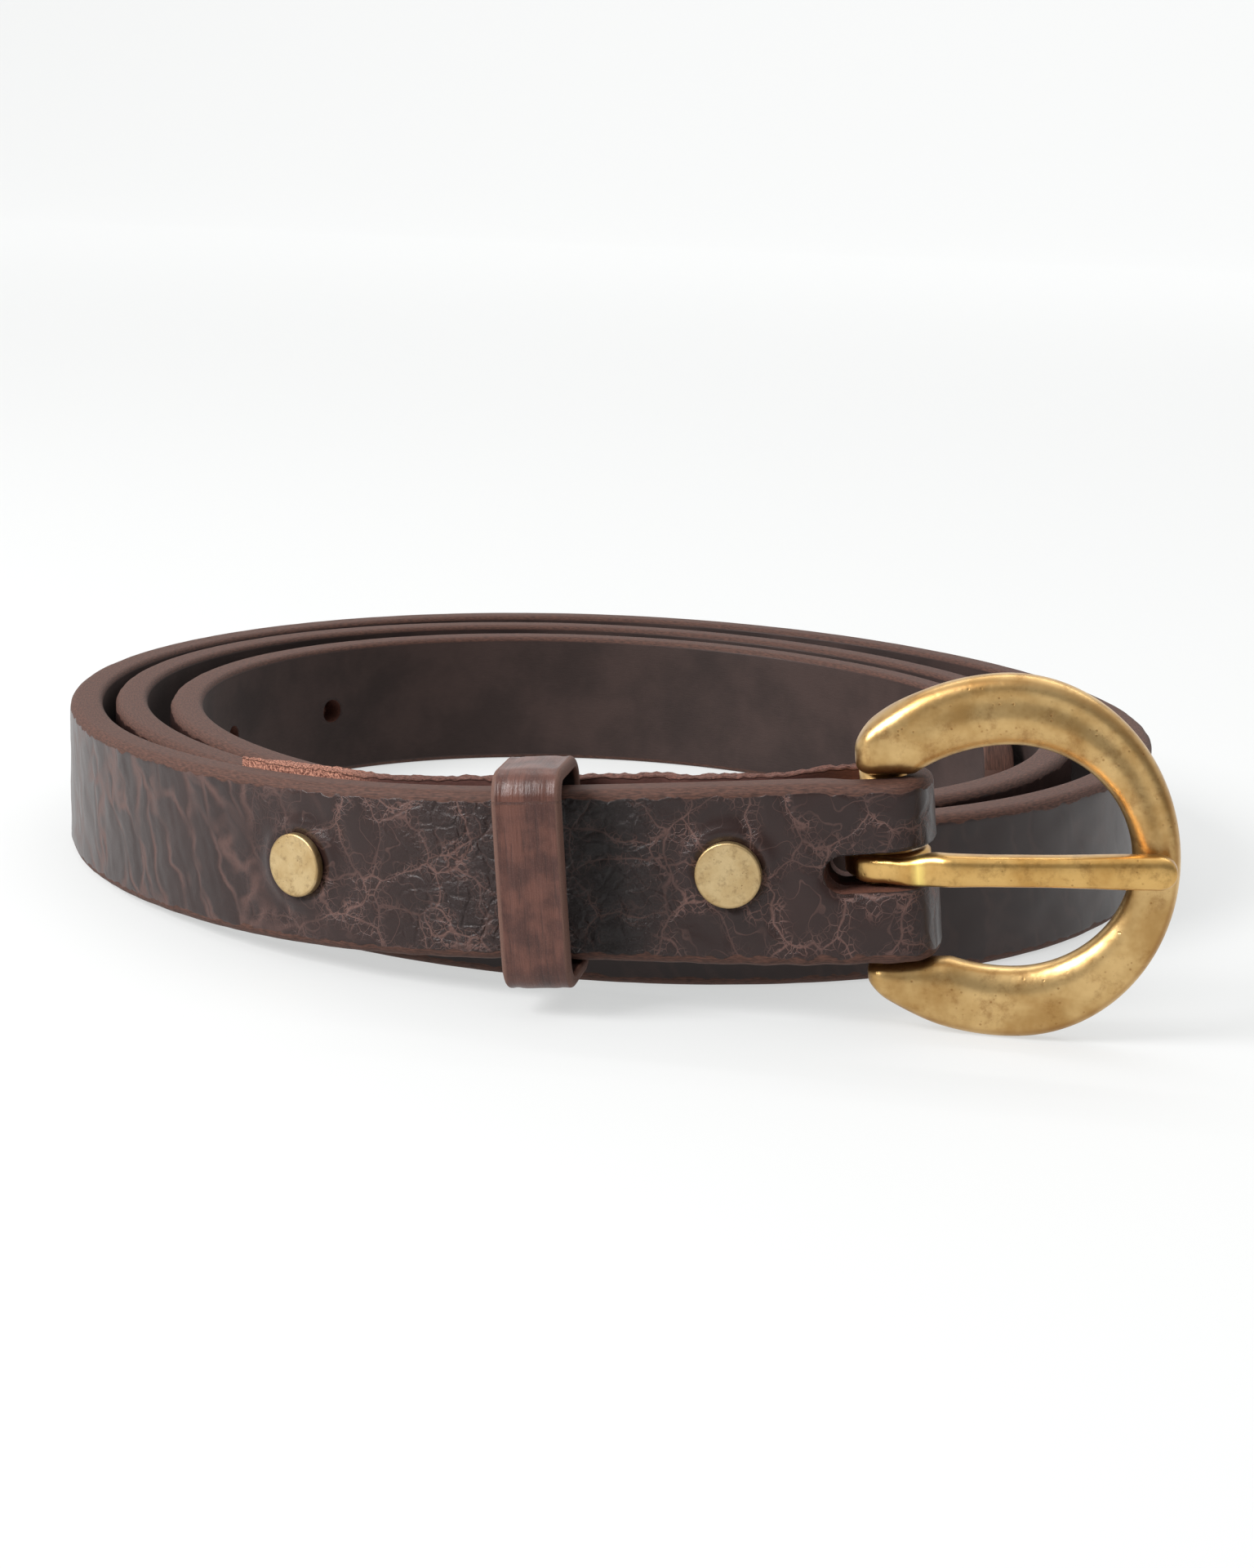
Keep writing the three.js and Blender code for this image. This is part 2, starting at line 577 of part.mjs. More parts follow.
function rivetPost(s) {
  const low = BACK_SEAT - RIVET_CAP_THICKNESS;
  const bore = RIVET_TUBE_RADIUS - RIVET_TUBE_WALL;
  const tubeTop = FRONT_SEAT - CLEARANCE;
  return turned([
    [0, low], [flat, low], [RIVET_CAP_RADIUS, low + RIVET_RIM],
    [RIVET_CAP_RADIUS, BACK_SEAT - RIVET_RIM], [flat, BACK_SEAT],
    [RIVET_TUBE_RADIUS, BACK_SEAT], [RIVET_TUBE_RADIUS, tubeTop], [bore, tubeTop],
    [bore, BACK_SEAT], [0, BACK_SEAT],
  ], s);
}

// ================================================================ the model
const leather = (name, color, roughness) => new THREE.MeshStandardMaterial({ name, color, roughness });
const brass = (name, color, roughness) => new THREE.MeshStandardMaterial({
  name, color, roughness, metalness: 1,
});

const pieces = {
  strap: [strap(), leather('strap leather', 0x47302b, 0.5)],
  keeper_loop: [keeper(), leather('keeper leather', 0x4f2f27, 0.45)],
  buckle_frame: [buckleFrame(), brass('buckle brass', 0xb08d3f, 0.35)],
  tongue: [tongue(), brass('tongue brass', 0xb79446, 0.3)],
  rivet_1_cap: [rivetCap(FIRST_RIVET), brass('rivet brass', 0xa8904f, 0.45)],
  rivet_1_post: [rivetPost(FIRST_RIVET), brass('rivet brass', 0xa8904f, 0.45)],
  rivet_2_cap: [rivetCap(SECOND_RIVET), brass('rivet brass', 0xa8904f, 0.45)],
  rivet_2_post: [rivetPost(SECOND_RIVET), brass('rivet brass', 0xa8904f, 0.45)],
};

const belt = new THREE.Group();
for (const [name, [geometry, material]] of Object.entries(pieces)) {
  const mesh = new THREE.Mesh(geometry, material);
  mesh.name = name;
  belt.add(mesh);
}

// The row's origin is the middle of the base.
const box = new THREE.Box3().setFromObject(belt);
const centre = box.getCenter(new THREE.Vector3());
belt.position.set(-centre.x, -centre.y, -box.min.z);

export default belt;
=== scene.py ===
# %% [markdown]
# # A coiled leather belt with a brass horseshoe buckle
# This lesson dresses a belt that already exists as a plain model. The plain model, the frame, gives
# every piece its size and place, and says what turns and slides. Each step below says what the real
# piece is, how it could be made in Blender and why it is made the way it is. Millimetres are the
# natural unit for a belt, so shapes are worked out in them and turned into metres at the very end.

# %% The frame
import json
import math

import bpy
import numpy as np
from mathutils import Matrix, Vector, noise


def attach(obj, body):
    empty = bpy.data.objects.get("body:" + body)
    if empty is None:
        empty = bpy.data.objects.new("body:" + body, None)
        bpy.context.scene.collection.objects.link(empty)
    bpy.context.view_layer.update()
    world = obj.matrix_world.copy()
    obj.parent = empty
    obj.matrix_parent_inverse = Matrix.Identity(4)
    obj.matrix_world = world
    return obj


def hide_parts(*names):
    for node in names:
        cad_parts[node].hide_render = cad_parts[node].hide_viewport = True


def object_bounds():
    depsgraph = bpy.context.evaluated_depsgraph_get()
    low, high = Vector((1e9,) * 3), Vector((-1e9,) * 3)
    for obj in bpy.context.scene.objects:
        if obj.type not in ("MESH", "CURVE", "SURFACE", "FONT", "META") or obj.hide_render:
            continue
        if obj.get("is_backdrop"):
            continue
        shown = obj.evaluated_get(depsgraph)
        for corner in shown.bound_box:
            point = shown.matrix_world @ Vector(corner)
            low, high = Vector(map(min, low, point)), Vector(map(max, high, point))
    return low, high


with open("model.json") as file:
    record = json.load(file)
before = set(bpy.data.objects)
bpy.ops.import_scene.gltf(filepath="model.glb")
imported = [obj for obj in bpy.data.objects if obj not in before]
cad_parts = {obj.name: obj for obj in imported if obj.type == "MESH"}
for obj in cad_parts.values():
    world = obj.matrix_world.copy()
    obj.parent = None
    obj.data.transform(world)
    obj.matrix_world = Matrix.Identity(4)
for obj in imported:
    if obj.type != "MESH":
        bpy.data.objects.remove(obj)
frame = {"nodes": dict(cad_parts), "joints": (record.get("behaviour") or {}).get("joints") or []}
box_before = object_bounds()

MM = 0.001
joints = {joint["name"]: joint for joint in frame["joints"]}
print("nodes:", sorted(frame["nodes"]))
print("hinge of the buckle at", joints["frame_hinge"]["pos_m"])

# %% [markdown]
# ## The camera
# The belt is looked at from the front, a little above it and a little to the right, with a long
# lens. The camera could be aimed with a constraint, but a position and three angles say exactly the
# same thing and can't drift. The place is given from the middle of the buckle's bar, because that
# is the point that everything else on the belt is measured from.

# %% Camera
bar_middle = Vector(joints["frame_hinge"]["pos_m"])
camera_data = bpy.data.cameras.new("camera")
camera_data.lens = 64.62
camera_data.sensor_width = 36
camera_data.clip_start = 0.01
camera_data.clip_end = 20
camera = bpy.data.objects.new("camera", camera_data)
bpy.context.scene.collection.objects.link(camera)
CAMERA_FROM_BAR = Vector((20.566, -299.374, 74.708)) * MM
HEADING, DOWN, ROLL = (math.radians(a) for a in (9.44, 12.82, 2.12))
turn = (Matrix.Rotation(HEADING, 4, "Z") @ Matrix.Rotation(math.pi / 2 - DOWN, 4, "X")
        @ Matrix.Rotation(ROLL, 4, "Z"))
camera.matrix_world = Matrix.Translation(bar_middle + CAMERA_FROM_BAR) @ turn
bpy.context.scene.camera = camera
print("camera at", tuple(round(c, 3) for c in camera.location))

# %% [markdown]
# ## Helpers for materials
# Leather and brass get their colours, gloss and relief from nodes: small boxes that each work out
# one thing and pass it on. They could be laid out by hand in the shader editor. Here a short class
# adds and joins them, so that a whole material reads like a page of sums.

# %% Small helpers for node materials
def new_object(name, mesh):
    made = bpy.data.objects.new(name, mesh)
    bpy.context.scene.collection.objects.link(made)
    return made


class Nodes:
    """Adds nodes to a material and joins them, one short call at a time."""

    def __init__(self, owner):
        owner.use_nodes = True
        self.tree = owner.node_tree
        self.tree.nodes.clear()

    def put(self, socket, value):
        if hasattr(value, "is_linked"):
            self.tree.links.new(value, socket)
        elif isinstance(value, bpy.types.Node):
            self.tree.links.new(value.outputs[0], socket)
        else:
            socket.default_value = value

    def add(self, kind, inputs=(), **settings):
        node = self.tree.nodes.new(kind)
        for key, value in settings.items():
            setattr(node, key, value)
        for key, value in dict(inputs).items():
            self.put(node.inputs[key], value)
        return node

    def math(self, operation, a, b=0.0, c=0.0, clamp=False):
        made = self.add("ShaderNodeMath", {0: a, 1: b, 2: c}, operation=operation)
        made.use_clamp = clamp
        return made.outputs[0]

    def ramp(self, value, low, high, to_low=0.0, to_high=1.0):
        made = self.add("ShaderNodeMapRange", {0: value, 1: low, 2: high, 3: to_low, 4: to_high},
                        interpolation_type="SMOOTHSTEP")
        return made.outputs[0]

    def mix(self, share, a, b):
        made = self.add("ShaderNodeMix", data_type="RGBA")
        self.put(made.inputs[0], share)
        self.put(made.inputs[6], a)
        self.put(made.inputs[7], b)
        return made.outputs[2]

    def blend(self, share, a, b):
        made = self.add("ShaderNodeMix", data_type="FLOAT")
        self.put(made.inputs[0], share)
        self.put(made.inputs[2], a)
        self.put(made.inputs[3], b)
        return made.outputs[0]

    def noise(self, place, scale, detail=2.0, roughness=0.5):
        made = self.add("ShaderNodeTexNoise", {"Vector": place, "Scale": scale, "Detail": detail,
                                               "Roughness": roughness})
        return made.outputs[0]

    def stretch(self, place, scale, turn=0.0):
        made = self.add("ShaderNodeMapping", {"Vector": place, "Scale": scale})
        made.inputs["Rotation"].default_value = (0, 0, turn)
        return made.outputs[0]

    def measure(self, name):
        return self.add("ShaderNodeAttribute", attribute_name=name).outputs["Fac"]


def colour(red, green, blue):
    """A colour as a paint chart gives it, 0 to 255, turned into the light it sends back."""
    def light(c):
        c = c / 255
        return c / 12.92 if c <= 0.04045 else ((c + 0.055) / 1.055) ** 2.4
    return (light(red), light(green), light(blue), 1)


# %% [markdown]
# ## The studio
# The belt stands on a white sweep: a floor that curves up into a wall, so that no horizon shows.
# The sheet could be plain white, but then the lamp that lights the belt would bleach one part of
# it and leave another part grey. So it is made like a light table: it glows by itself, and sends
# back only a quarter of the light that falls on it, which is enough to carry soft shadows.
# Brass and polished leather show what stands around them. So the world is bright behind and above
# the belt and dim behind the camera, like a room. A window lamp high on the left gives the
# shadows their direction, a weak one hangs overhead, and a wide one lights the wall behind.

# %% Floor
def sweep_mesh():
    """A floor with a wall behind it, joined by a quarter circle, wide enough for any view."""
    front, back, radius, high, wide = -3.0, 2.2, 1.2, 2.4, 3.0
    steps = 24
    profile = [(front, 0.0), (back, 0.0)]
    for i in range(1, steps + 1):
        a = math.radians(90 * i / steps)
        profile.append((back + radius * math.sin(a), radius * (1 - math.cos(a))))
    profile.append((back + radius, high))
    points = [(x, y, z) for y, z in profile for x in (-wide, wide)]
    faces = [(2 * i, 2 * i + 1, 2 * i + 3, 2 * i + 2) for i in range(len(profile) - 1)]
    mesh = bpy.data.meshes.new("sweep")
    mesh.from_pydata(points, [], faces)
    mesh.shade_smooth()
    return mesh


SENT_BACK, GLOW = 0.25, 0.575
paper = bpy.data.materials.new("white_sweep")
n = Nodes(paper)
shade = n.add("ShaderNodeBsdfPrincipled", {
    "Base Color": (SENT_BACK, SENT_BACK, SENT_BACK, 1), "Roughness": 0.7, "Specular IOR Level": 0.1,
    "Emission Color": (0.985, 1.0, 0.995, 1), "Emission Strength": GLOW})
n.add("ShaderNodeOutputMaterial", {"Surface": shade})
floor = new_object("floor", sweep_mesh())
floor.data.materials.append(paper)
floor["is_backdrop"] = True
print("floor:", len(floor.data.polygons), "faces")

# %% World
DIM_ROOM, BRIGHT_ROOM = 0.28, 0.80
world = bpy.data.worlds.new("studio")
bpy.context.scene.world = world
n = Nodes(world)
toward = n.add("ShaderNodeTexCoord").outputs["Generated"]
axes = n.add("ShaderNodeSeparateXYZ", {0: toward})
behind = n.ramp(axes.outputs[1], -0.35, 0.45)
above = n.ramp(axes.outputs[2], 0.35, 0.95)
bright = n.math("MAXIMUM", behind, above)
strength = n.blend(bright, DIM_ROOM, BRIGHT_ROOM)
sky = n.add("ShaderNodeBackground", {"Color": (1.0, 0.995, 0.985, 1), "Strength": strength})
n.add("ShaderNodeOutputWorld", {"Surface": sky})
print("world from", DIM_ROOM, "to", BRIGHT_ROOM)


# %% Lights
def soft_light(name, place, target, size, power, tint=(1, 1, 1)):
    data = bpy.data.lights.new(name, "AREA")
    data.shape = "RECTANGLE"
    data.size, data.size_y = size
    data.energy = power
    data.color = tint
    lamp = bpy.data.objects.new(name, data)
    bpy.context.scene.collection.objects.link(lamp)
    lamp.location = place
    lamp.rotation_euler = (Vector(target) - Vector(place)).to_track_quat("-Z", "Y").to_euler()
    return lamp


soft_light("window_left", (-0.56, -0.50, 0.56), (0, 0, 0.02), (0.40, 0.40), 11.0)
soft_light("overhead", (0.10, 0.15, 0.9), (0, 0, 0), (0.9, 0.7), 1.2)
soft_light("on_the_wall", (0.0, 1.6, 2.6), (0, 3.4, 0.7), (4.0, 0.6), 86.0)
bpy.context.scene.view_settings.view_transform = "Standard"
print("studio ready")

# %% [markdown]
# ## The strap's path
# A belt is one long strip, so it is made by moving one cross-section along a path. The path is
# straight for the doubled part behind the buckle, and then winds inwards clockwise as seen from
# above. A hand-wound coil is never a perfect spiral: some turns lie close and others stand apart.
# So the path takes a radius at every eighth of a turn and runs a smooth curve through them.
# A Bezier curve object could hold the path too, but working it out in numbers also gives the
# distance along the leather, and holes, rivets and grain all need that distance.

# %% Sizes of the strap and its path
STRAP_WIDTH, STRAP_THICKNESS, STRAP_LENGTH = 19, 4.2, 1131
BAR_RADIUS, CLEARANCE, FOLD_THICKNESS = 2.6, 0.3, 2.5
FOLD_EDGE = BAR_RADIUS + CLEARANCE + FOLD_THICKNESS
FACE_FORWARD = BAR_RADIUS + CLEARANCE + STRAP_THICKNESS
KEEPER_THICKNESS, TURN_BACK_THICKNESS = 1.5, 2.0
BACK_STACK = KEEPER_THICKNESS + 2 * CLEARANCE + TURN_BACK_THICKNESS
FIRST_TURN = [73.8, 59.5, 63.8, 68.3, 77, 75.7, 78, 72.5]
SECOND_TURN_AIR = [4 + BACK_STACK, 1.6, 1.8, 1.2, 6.0, 6.6, 6.8, 3.7]
THIRD_TURN_AIR = [0.6, 0.5, 3.6, 5.5, 6.6, 3.6, 1.4, 1.2]
APPROACH_RADIUS, LEAD = 77.5, 43.5
LIFT_END, LIFT_POWER, FRAME_HEIGHT, FRAME_CENTRE = 125, 1.5, 40, 13.5
LIFT_SLOPE = LIFT_POWER / (LIFT_END - FOLD_EDGE)
LIFT = (FRAME_HEIGHT - STRAP_WIDTH) / 2 / (1 + FRAME_CENTRE * LIFT_SLOPE)
STATIONS = 8
print("the strap rises", round(LIFT, 2), "mm to the buckle")


# %% The coil's radius
def station_radius(k):
    """The radius at station k: the first turn's own, less leather and air for each turn inwards."""
    if k < 0:
        return APPROACH_RADIUS
    turn, station = divmod(k, STATIONS)
    radius = FIRST_TURN[station]
    for t in range(1, turn + 1):
        air = SECOND_TURN_AIR if t == 1 else THIRD_TURN_AIR
        radius -= STRAP_THICKNESS + air[station]
    return radius


CONTROLS = np.array([station_radius(k) for k in range(-1, 4 * STATIONS)])


def coil_radius(q):
    """The radius after q eighths of a turn: a smooth cubic curve through the stations."""
    k = np.floor(q).astype(int)
    t = q - k
    shares = [(1 - t) ** 3, 3 * t ** 3 - 6 * t ** 2 + 4, -3 * t ** 3 + 3 * t ** 2 + 3 * t + 1, t ** 3]
    return sum(share * CONTROLS[k + i] for i, share in enumerate(shares)) / 6


STEP = 2 * math.pi / STATIONS
start_slope = (CONTROLS[2] - CONTROLS[0]) / 2 / STEP
LEAD_TURN = math.atan2(-start_slope, coil_radius(np.array([0.0]))[0])
TURNS_WORKED_OUT, FINE_STEP = 3.2, 0.01
q = np.arange(0, TURNS_WORKED_OUT * STATIONS, FINE_STEP)
around = q * STEP - LEAD_TURN
coil_xy = np.stack([-np.sin(around), -np.cos(around)], 1) * coil_radius(q)[:, None]
coil_s = LEAD + np.concatenate([[0], np.cumsum(np.linalg.norm(np.diff(coil_xy, axis=0), axis=1))])
print("the coil makes", round(float(np.interp(STRAP_LENGTH, coil_s, around)) / 2 / math.pi, 2), "turns")


# %% Walking along the path
def plan(s):
    """Where the middle of the leather is, seen from above, at distances s from the fold."""
    on_lead = np.stack([coil_xy[0, 0] + LEAD - s, np.full_like(s, coil_xy[0, 1])], 1)
    on_coil = np.stack([np.interp(s, coil_s, coil_xy[:, i]) for i in (0, 1)], 1)
    return np.where((s <= LEAD)[:, None], on_lead, on_coil)


def lift(s):
    """The buckle is taller than the strap, so the strap rises towards it to let it clear the floor."""
    return LIFT * np.maximum(0, (LIFT_END - s) / (LIFT_END - FOLD_EDGE)) ** LIFT_POWER


def strap_frame(s):
    """The strap's own directions at distances s: where it is, along it, out of its face, and up."""
    s = np.atleast_1d(np.asarray(s, float))
    reach = 0.5
    ahead = plan(s + reach) - plan(s - reach)
    ahead /= np.linalg.norm(ahead, axis=1)[:, None]
    out = np.stack([-ahead[:, 1], ahead[:, 0], 0 * s], 1)
    on_strap = np.maximum(FOLD_EDGE, s)
    rise = (lift(on_strap + reach) - lift(on_strap)) / reach
    along = np.column_stack([ahead, rise])
    along /= np.linalg.norm(along, axis=1)[:, None]
    up = np.cross(along, out)
    up *= np.where(up[:, 2] < 0, -1, 1)[:, None]
    middle = np.column_stack([plan(s), STRAP_WIDTH / 2 + lift(s)])
    return middle, along, out, up


# %% [markdown]
# The buckle turns on its bar, and the frame model says exactly where that bar is. So the path is
# moved until its own bar lies there. After that, everything on the belt is in the right place.

# %% The bar's own directions
middle, along, out, up = (v[0] for v in strap_frame(FOLD_EDGE))
U, V, W = -along, out, up
bar_on_path = middle - V * (FACE_FORWARD - STRAP_THICKNESS / 2)
SHIFT = np.array(bar_middle) / MM - bar_on_path
BAR = bar_on_path + SHIFT
print("path moved by", SHIFT.round(3), "mm; the buckle points along", U.round(3))


def from_bar(u, v, w):
    """Points given from the bar: u towards the buckle, v out of the coil, w upwards."""
    return BAR + np.multiply.outer(u, U) + np.multiply.outer(v, V) + np.multiply.outer(w, W)


# %% [markdown]
# ## From rings to a mesh
# Every long piece here is a row of rings with the same number of points, joined by four-sided
# faces. Curve objects with a bevel could do that as well, but rings made in code can carry extra
# measurements. Each point remembers how far along the leather it is and how far round its section,
# and the materials use that to lay grain, burnishing and raw fibres exactly where they belong.

# %% Skinning rings
def skin(name, rings, measures, closed=False):
    """Makes an object from rings, an array of rings x points x 3 in millimetres."""
    rings = np.asarray(rings, float)
    count, points = rings.shape[:2]
    vertices = rings.reshape(-1, 3) * MM
    i = np.arange(count if closed else count - 1)[:, None]
    j = np.arange(points)[None, :]
    a = i * points + j
    b = i * points + (j + 1) % points
    c = (i + 1) % count * points + (j + 1) % points
    d = (i + 1) % count * points + j
    faces = np.stack([a, b, c, d], -1).reshape(-1, 4).tolist()
    if not closed:
        faces.append(list(range(points))[::-1])
        faces.append(list(range((count - 1) * points, count * points)))
    mesh = bpy.data.meshes.new(name)
    mesh.from_pydata(vertices, [], faces)
    for key, values in measures.items():
        values = np.broadcast_to(values, (count, points)).astype(np.float32).ravel()
        mesh.attributes.new(key, "FLOAT", "POINT").data.foreach_set("value", values)
    made = new_object(name, mesh)
    face_outwards(mesh)
    mesh.shade_smooth()
    return made


def face_outwards(mesh):
    """Turns the faces the right way round if the volume they enclose comes out negative."""
    mesh.calc_loop_triangles()
    co = np.empty(len(mesh.vertices) * 3)
    mesh.vertices.foreach_get("co", co)
    co = co.reshape(-1, 3)
    tri = np.empty(len(mesh.loop_triangles) * 3, int)
    mesh.loop_triangles.foreach_get("vertices", tri)
    a, b, c = (co[tri.reshape(-1, 3)[:, k]] for k in range(3))
    if np.einsum("ij,ij->", a, np.cross(b, c)) < 0:
        mesh.flip_normals()


def smooth(low, high, x):
    t = np.clip((x - low) / (high - low), 0, 1)
    return t * t * (3 - 2 * t)


def rough(x, y, z=0.0):
    """Soft random waves, between about -1 and 1, the same every time."""
    flat = np.broadcast_arrays(x, y, z)
    values = [noise.noise(Vector(p)) for p in zip(*(f.ravel().tolist() for f in flat))]
    return np.reshape(values, flat[0].shape)


# %% [markdown]
# ## The strap's section
# The grain side faces out of the coil and the flesh side faces in. A maker takes the sharp corners
# off and burnishes the edges round, more on the grain side. The section is a rounded rectangle with
# more points on the grain side, because that is where the leather's puckers have to show.

# %% One section of leather
OUTER_ARC_POINTS, WALL_SHARES, INNER_ARC_POINTS = 6, (0.33, 0.67), 5
EDGE_POINTS = OUTER_ARC_POINTS + len(WALL_SHARES) + INNER_ARC_POINTS


def leather_section(half, thickness, outer_round, inner_round, face_points, back_points):
    """Each point's depth behind the grain face and its height, and then its measures: how far
    round the section it is, how far past the face's rim, and how far past the edge of the back."""
    outer_round = min(outer_round, thickness * 0.45)
    inner_round = min(inner_round, thickness * 0.45)
    face = half - outer_round
    back = half - inner_round
    depth = list(np.zeros(face_points))
    height = list(np.linspace(-face, face, face_points))
    for a in np.radians(np.linspace(15, 90, OUTER_ARC_POINTS)):
        depth.append(outer_round * (1 - math.cos(a)))
        height.append(face + outer_round * math.sin(a))
    flat = thickness - outer_round - inner_round
    for share in WALL_SHARES:
        depth.append(outer_round + flat * share)
        height.append(half)
    for a in np.radians(np.linspace(0, 75, INNER_ARC_POINTS)):
        depth.append(thickness - inner_round * (1 - math.sin(a)))
        height.append(back + inner_round * math.cos(a))
    depth += list(np.full(back_points, thickness))
    height += list(np.linspace(back, -back, back_points))
    upper = slice(face_points, face_points + EDGE_POINTS)
    depth += depth[upper][::-1]
    height += [-h for h in height[upper][::-1]]
    depth, height = np.array(depth), np.array(height)
    steps = np.hypot(np.diff(depth), np.diff(height))
    girth = np.concatenate([[0], np.cumsum(steps)]) - face
    middle = face_points + EDGE_POINTS + back_points // 2
    whole = girth[-1] + np.hypot(depth[-1] - depth[0], height[-1] - height[0]) + face
    girth[middle:] -= whole
    rim = np.abs(girth) - face
    inside = np.abs(girth) - abs(girth[face_points + EDGE_POINTS - 1])
    return depth, height, girth, rim, inside


FACE_POINTS, BACK_POINTS = 42, 14
FRONT_ROUND, BACK_ROUND = 1.15, 0.8
section = leather_section(STRAP_WIDTH / 2, STRAP_THICKNESS, FRONT_ROUND, BACK_ROUND,
                          FACE_POINTS, BACK_POINTS)
print("a section has", len(section[0]), "points")

# %% [markdown]
# ## Relief of the grain face
# Real leather is never flat. It swells in soft pillows, rises in a ring where a rivet squeezes it,
# sinks along the slot, and puckers where the keeper presses. Where the strap was bent most it has
# slanting creases instead. These shapes are big enough to catch the light, so they are real moves
# of the mesh. The fine veins come later, in the material.
# The slot was punched by hand, and slants a little downwards, away from the bar.

# %% Where the fittings sit, and the relief they make
FIRST_RIVET, RIVET_SPACING, RIVET_CAP_RADIUS = 21.9, 50, 3.65
SECOND_RIVET = FIRST_RIVET + RIVET_SPACING
TONGUE_WIDTH, SLOT_CLEARANCE, SLOT_REACH = 3.7, 0.25, 6.4
KEEPER_PLACE, KEEPER_WIDTH, KEEPER_TRAVEL = 42.5, 7.6, 9
SLOT_HALF = TONGUE_WIDTH / 2 + SLOT_CLEARANCE
SLOT_DROP = 0.6
RIVET_RING, RIVET_DITCH, SLOT_SINK = 0.30, 0.12, 0.32
PUCKER, PUCKER_SINK, CREASE_SINK = 0.11, 0.16, 0.05
PILLOW, SMALL_PILLOW = 0.13, 0.06


def grain_relief(s, w):
    """How far the grain face stands out, in millimetres, at distance s and height w."""
    near = 1 - smooth(105, 130, s)
    pillow = PILLOW * rough(s / 4.2, w / 4.2, 1.3) + SMALL_PILLOW * rough(s / 1.9, w / 1.9, 7.7)
    creased = smooth(56, 80, s) * near
    slant = (s * 0.93 - w * 0.37) / 3.0 + 0.5 * rough(s / 9, w / 9, 3.1)
    crease = (1 - np.abs(np.sin(math.pi * slant / 1.7))) ** 3
    pillow = pillow * (1 - 0.45 * creased) - CREASE_SINK * creased * crease
    for rivet in (FIRST_RIVET, SECOND_RIVET):
        r = np.hypot(s - rivet, w)
        pillow = pillow * smooth(RIVET_CAP_RADIUS - 0.6, RIVET_CAP_RADIUS + 3, r)
        pillow = pillow + RIVET_RING * np.exp(-((r - RIVET_CAP_RADIUS - 0.9) / 0.75) ** 2)
        pillow = pillow - RIVET_DITCH * np.exp(-((r - RIVET_CAP_RADIUS - 2.9) / 1.1) ** 2)
    pressed = np.exp(-((s - KEEPER_PLACE + KEEPER_WIDTH / 2 + 3.4) / 2.4) ** 2)
    wrinkle = np.sin(w * 1.9 + 1.6 * rough(s / 5, w / 5, 9.4))
    pillow = pillow + pressed * (PUCKER * wrinkle - PUCKER_SINK)
    past_slot = np.maximum(0, s - (FOLD_EDGE + SLOT_REACH - SLOT_HALF))
    to_slot = np.hypot(past_slot, w + SLOT_DROP * smooth(0, 10, s)) - SLOT_HALF
    return pillow - SLOT_SINK * np.exp(-np.maximum(0, to_slot) / 0.45)


# %% [markdown]
# ## Laying the strap
# The rings start at the hidden tip and run down the coil to the fold. They are close together
# where the belt is seen from near and wider apart elsewhere. A fold stretches the leather, so its
# lower edge spreads towards the buckle, and the upper heel of the buckle presses the top edge.
# Both edges wave a little, as a strap that was cut by hand does.

# %% The main run of leather
TIP_LENGTH, TIP_NOSE, FRONT_END = 17, 0.16, 118
FINE_RINGS, COARSE_RINGS = 0.42, 1.7
FLARE, HEEL_PRESS, SCALLOP, EDGE_WAVE = 1.2, 0.3, 0.12, 0.16


def flare(s, w):
    """How far the leather moves down, at distance s and height w."""
    scallop = SCALLOP * rough(s / 2.2, 0.0, 6.1) * (1 - smooth(60, 90, s))
    spread = FLARE * (1 - smooth(12, 46, s)) + scallop
    return spread * smooth(-2, -9, w) + HEEL_PRESS * (1 - smooth(8, 12, s)) * smooth(2, 9, w)


def main_rings():
    fine = np.arange(FOLD_EDGE + 0.2, FRONT_END, FINE_RINGS)
    coarse = np.arange(FRONT_END, STRAP_LENGTH - 0.5, COARSE_RINGS)
    s = np.concatenate([fine, coarse, [STRAP_LENGTH - 0.02]])[::-1]
    depth, height, girth, rim, inside = section
    left = np.clip((STRAP_LENGTH - s) / TIP_LENGTH, 0, 1)
    narrow = TIP_NOSE + (1 - TIP_NOSE) * np.sqrt(1 - (1 - left) ** 2)
    S = np.repeat(s[:, None], len(depth), 1)
    H = height[None, :] * narrow[:, None]
    relief = grain_relief(S, H) * smooth(0.5, -0.9, rim)[None, :]
    at_rim = np.exp(-((rim - 0.6) / 0.7) ** 2)[None, :]
    wave = EDGE_WAVE * rough(S / 2.6, np.sign(H) * 3, 5.5) * at_rim
    forward = STRAP_THICKNESS / 2 - depth[None, :] + relief + wave * 0.6
    H = H + np.sign(H) * np.minimum(0, wave) - flare(S, H)
    middle, along, out, up = strap_frame(s)
    rings = (middle + SHIFT)[:, None] + out[:, None] * forward[..., None] + up[:, None] * H[..., None]
    return rings, S


rings_main, along_main = main_rings()
print("main run:", rings_main.shape[0], "rings")

# %% [markdown]
# The strap goes on round the bar in a fold and comes back behind its own front layer. This part is
# skived, which means pared thin, so that the doubled belt isn't too thick, and its end is pared to
# almost nothing. The two layers part at the bar and at the keeper and are pinched at the rivets.
# The fold gets sections of its own round half a turn. Bending a finished strap with a modifier
# would also fold it, but wouldn't make it thinner, and wouldn't keep it clear of the bar.

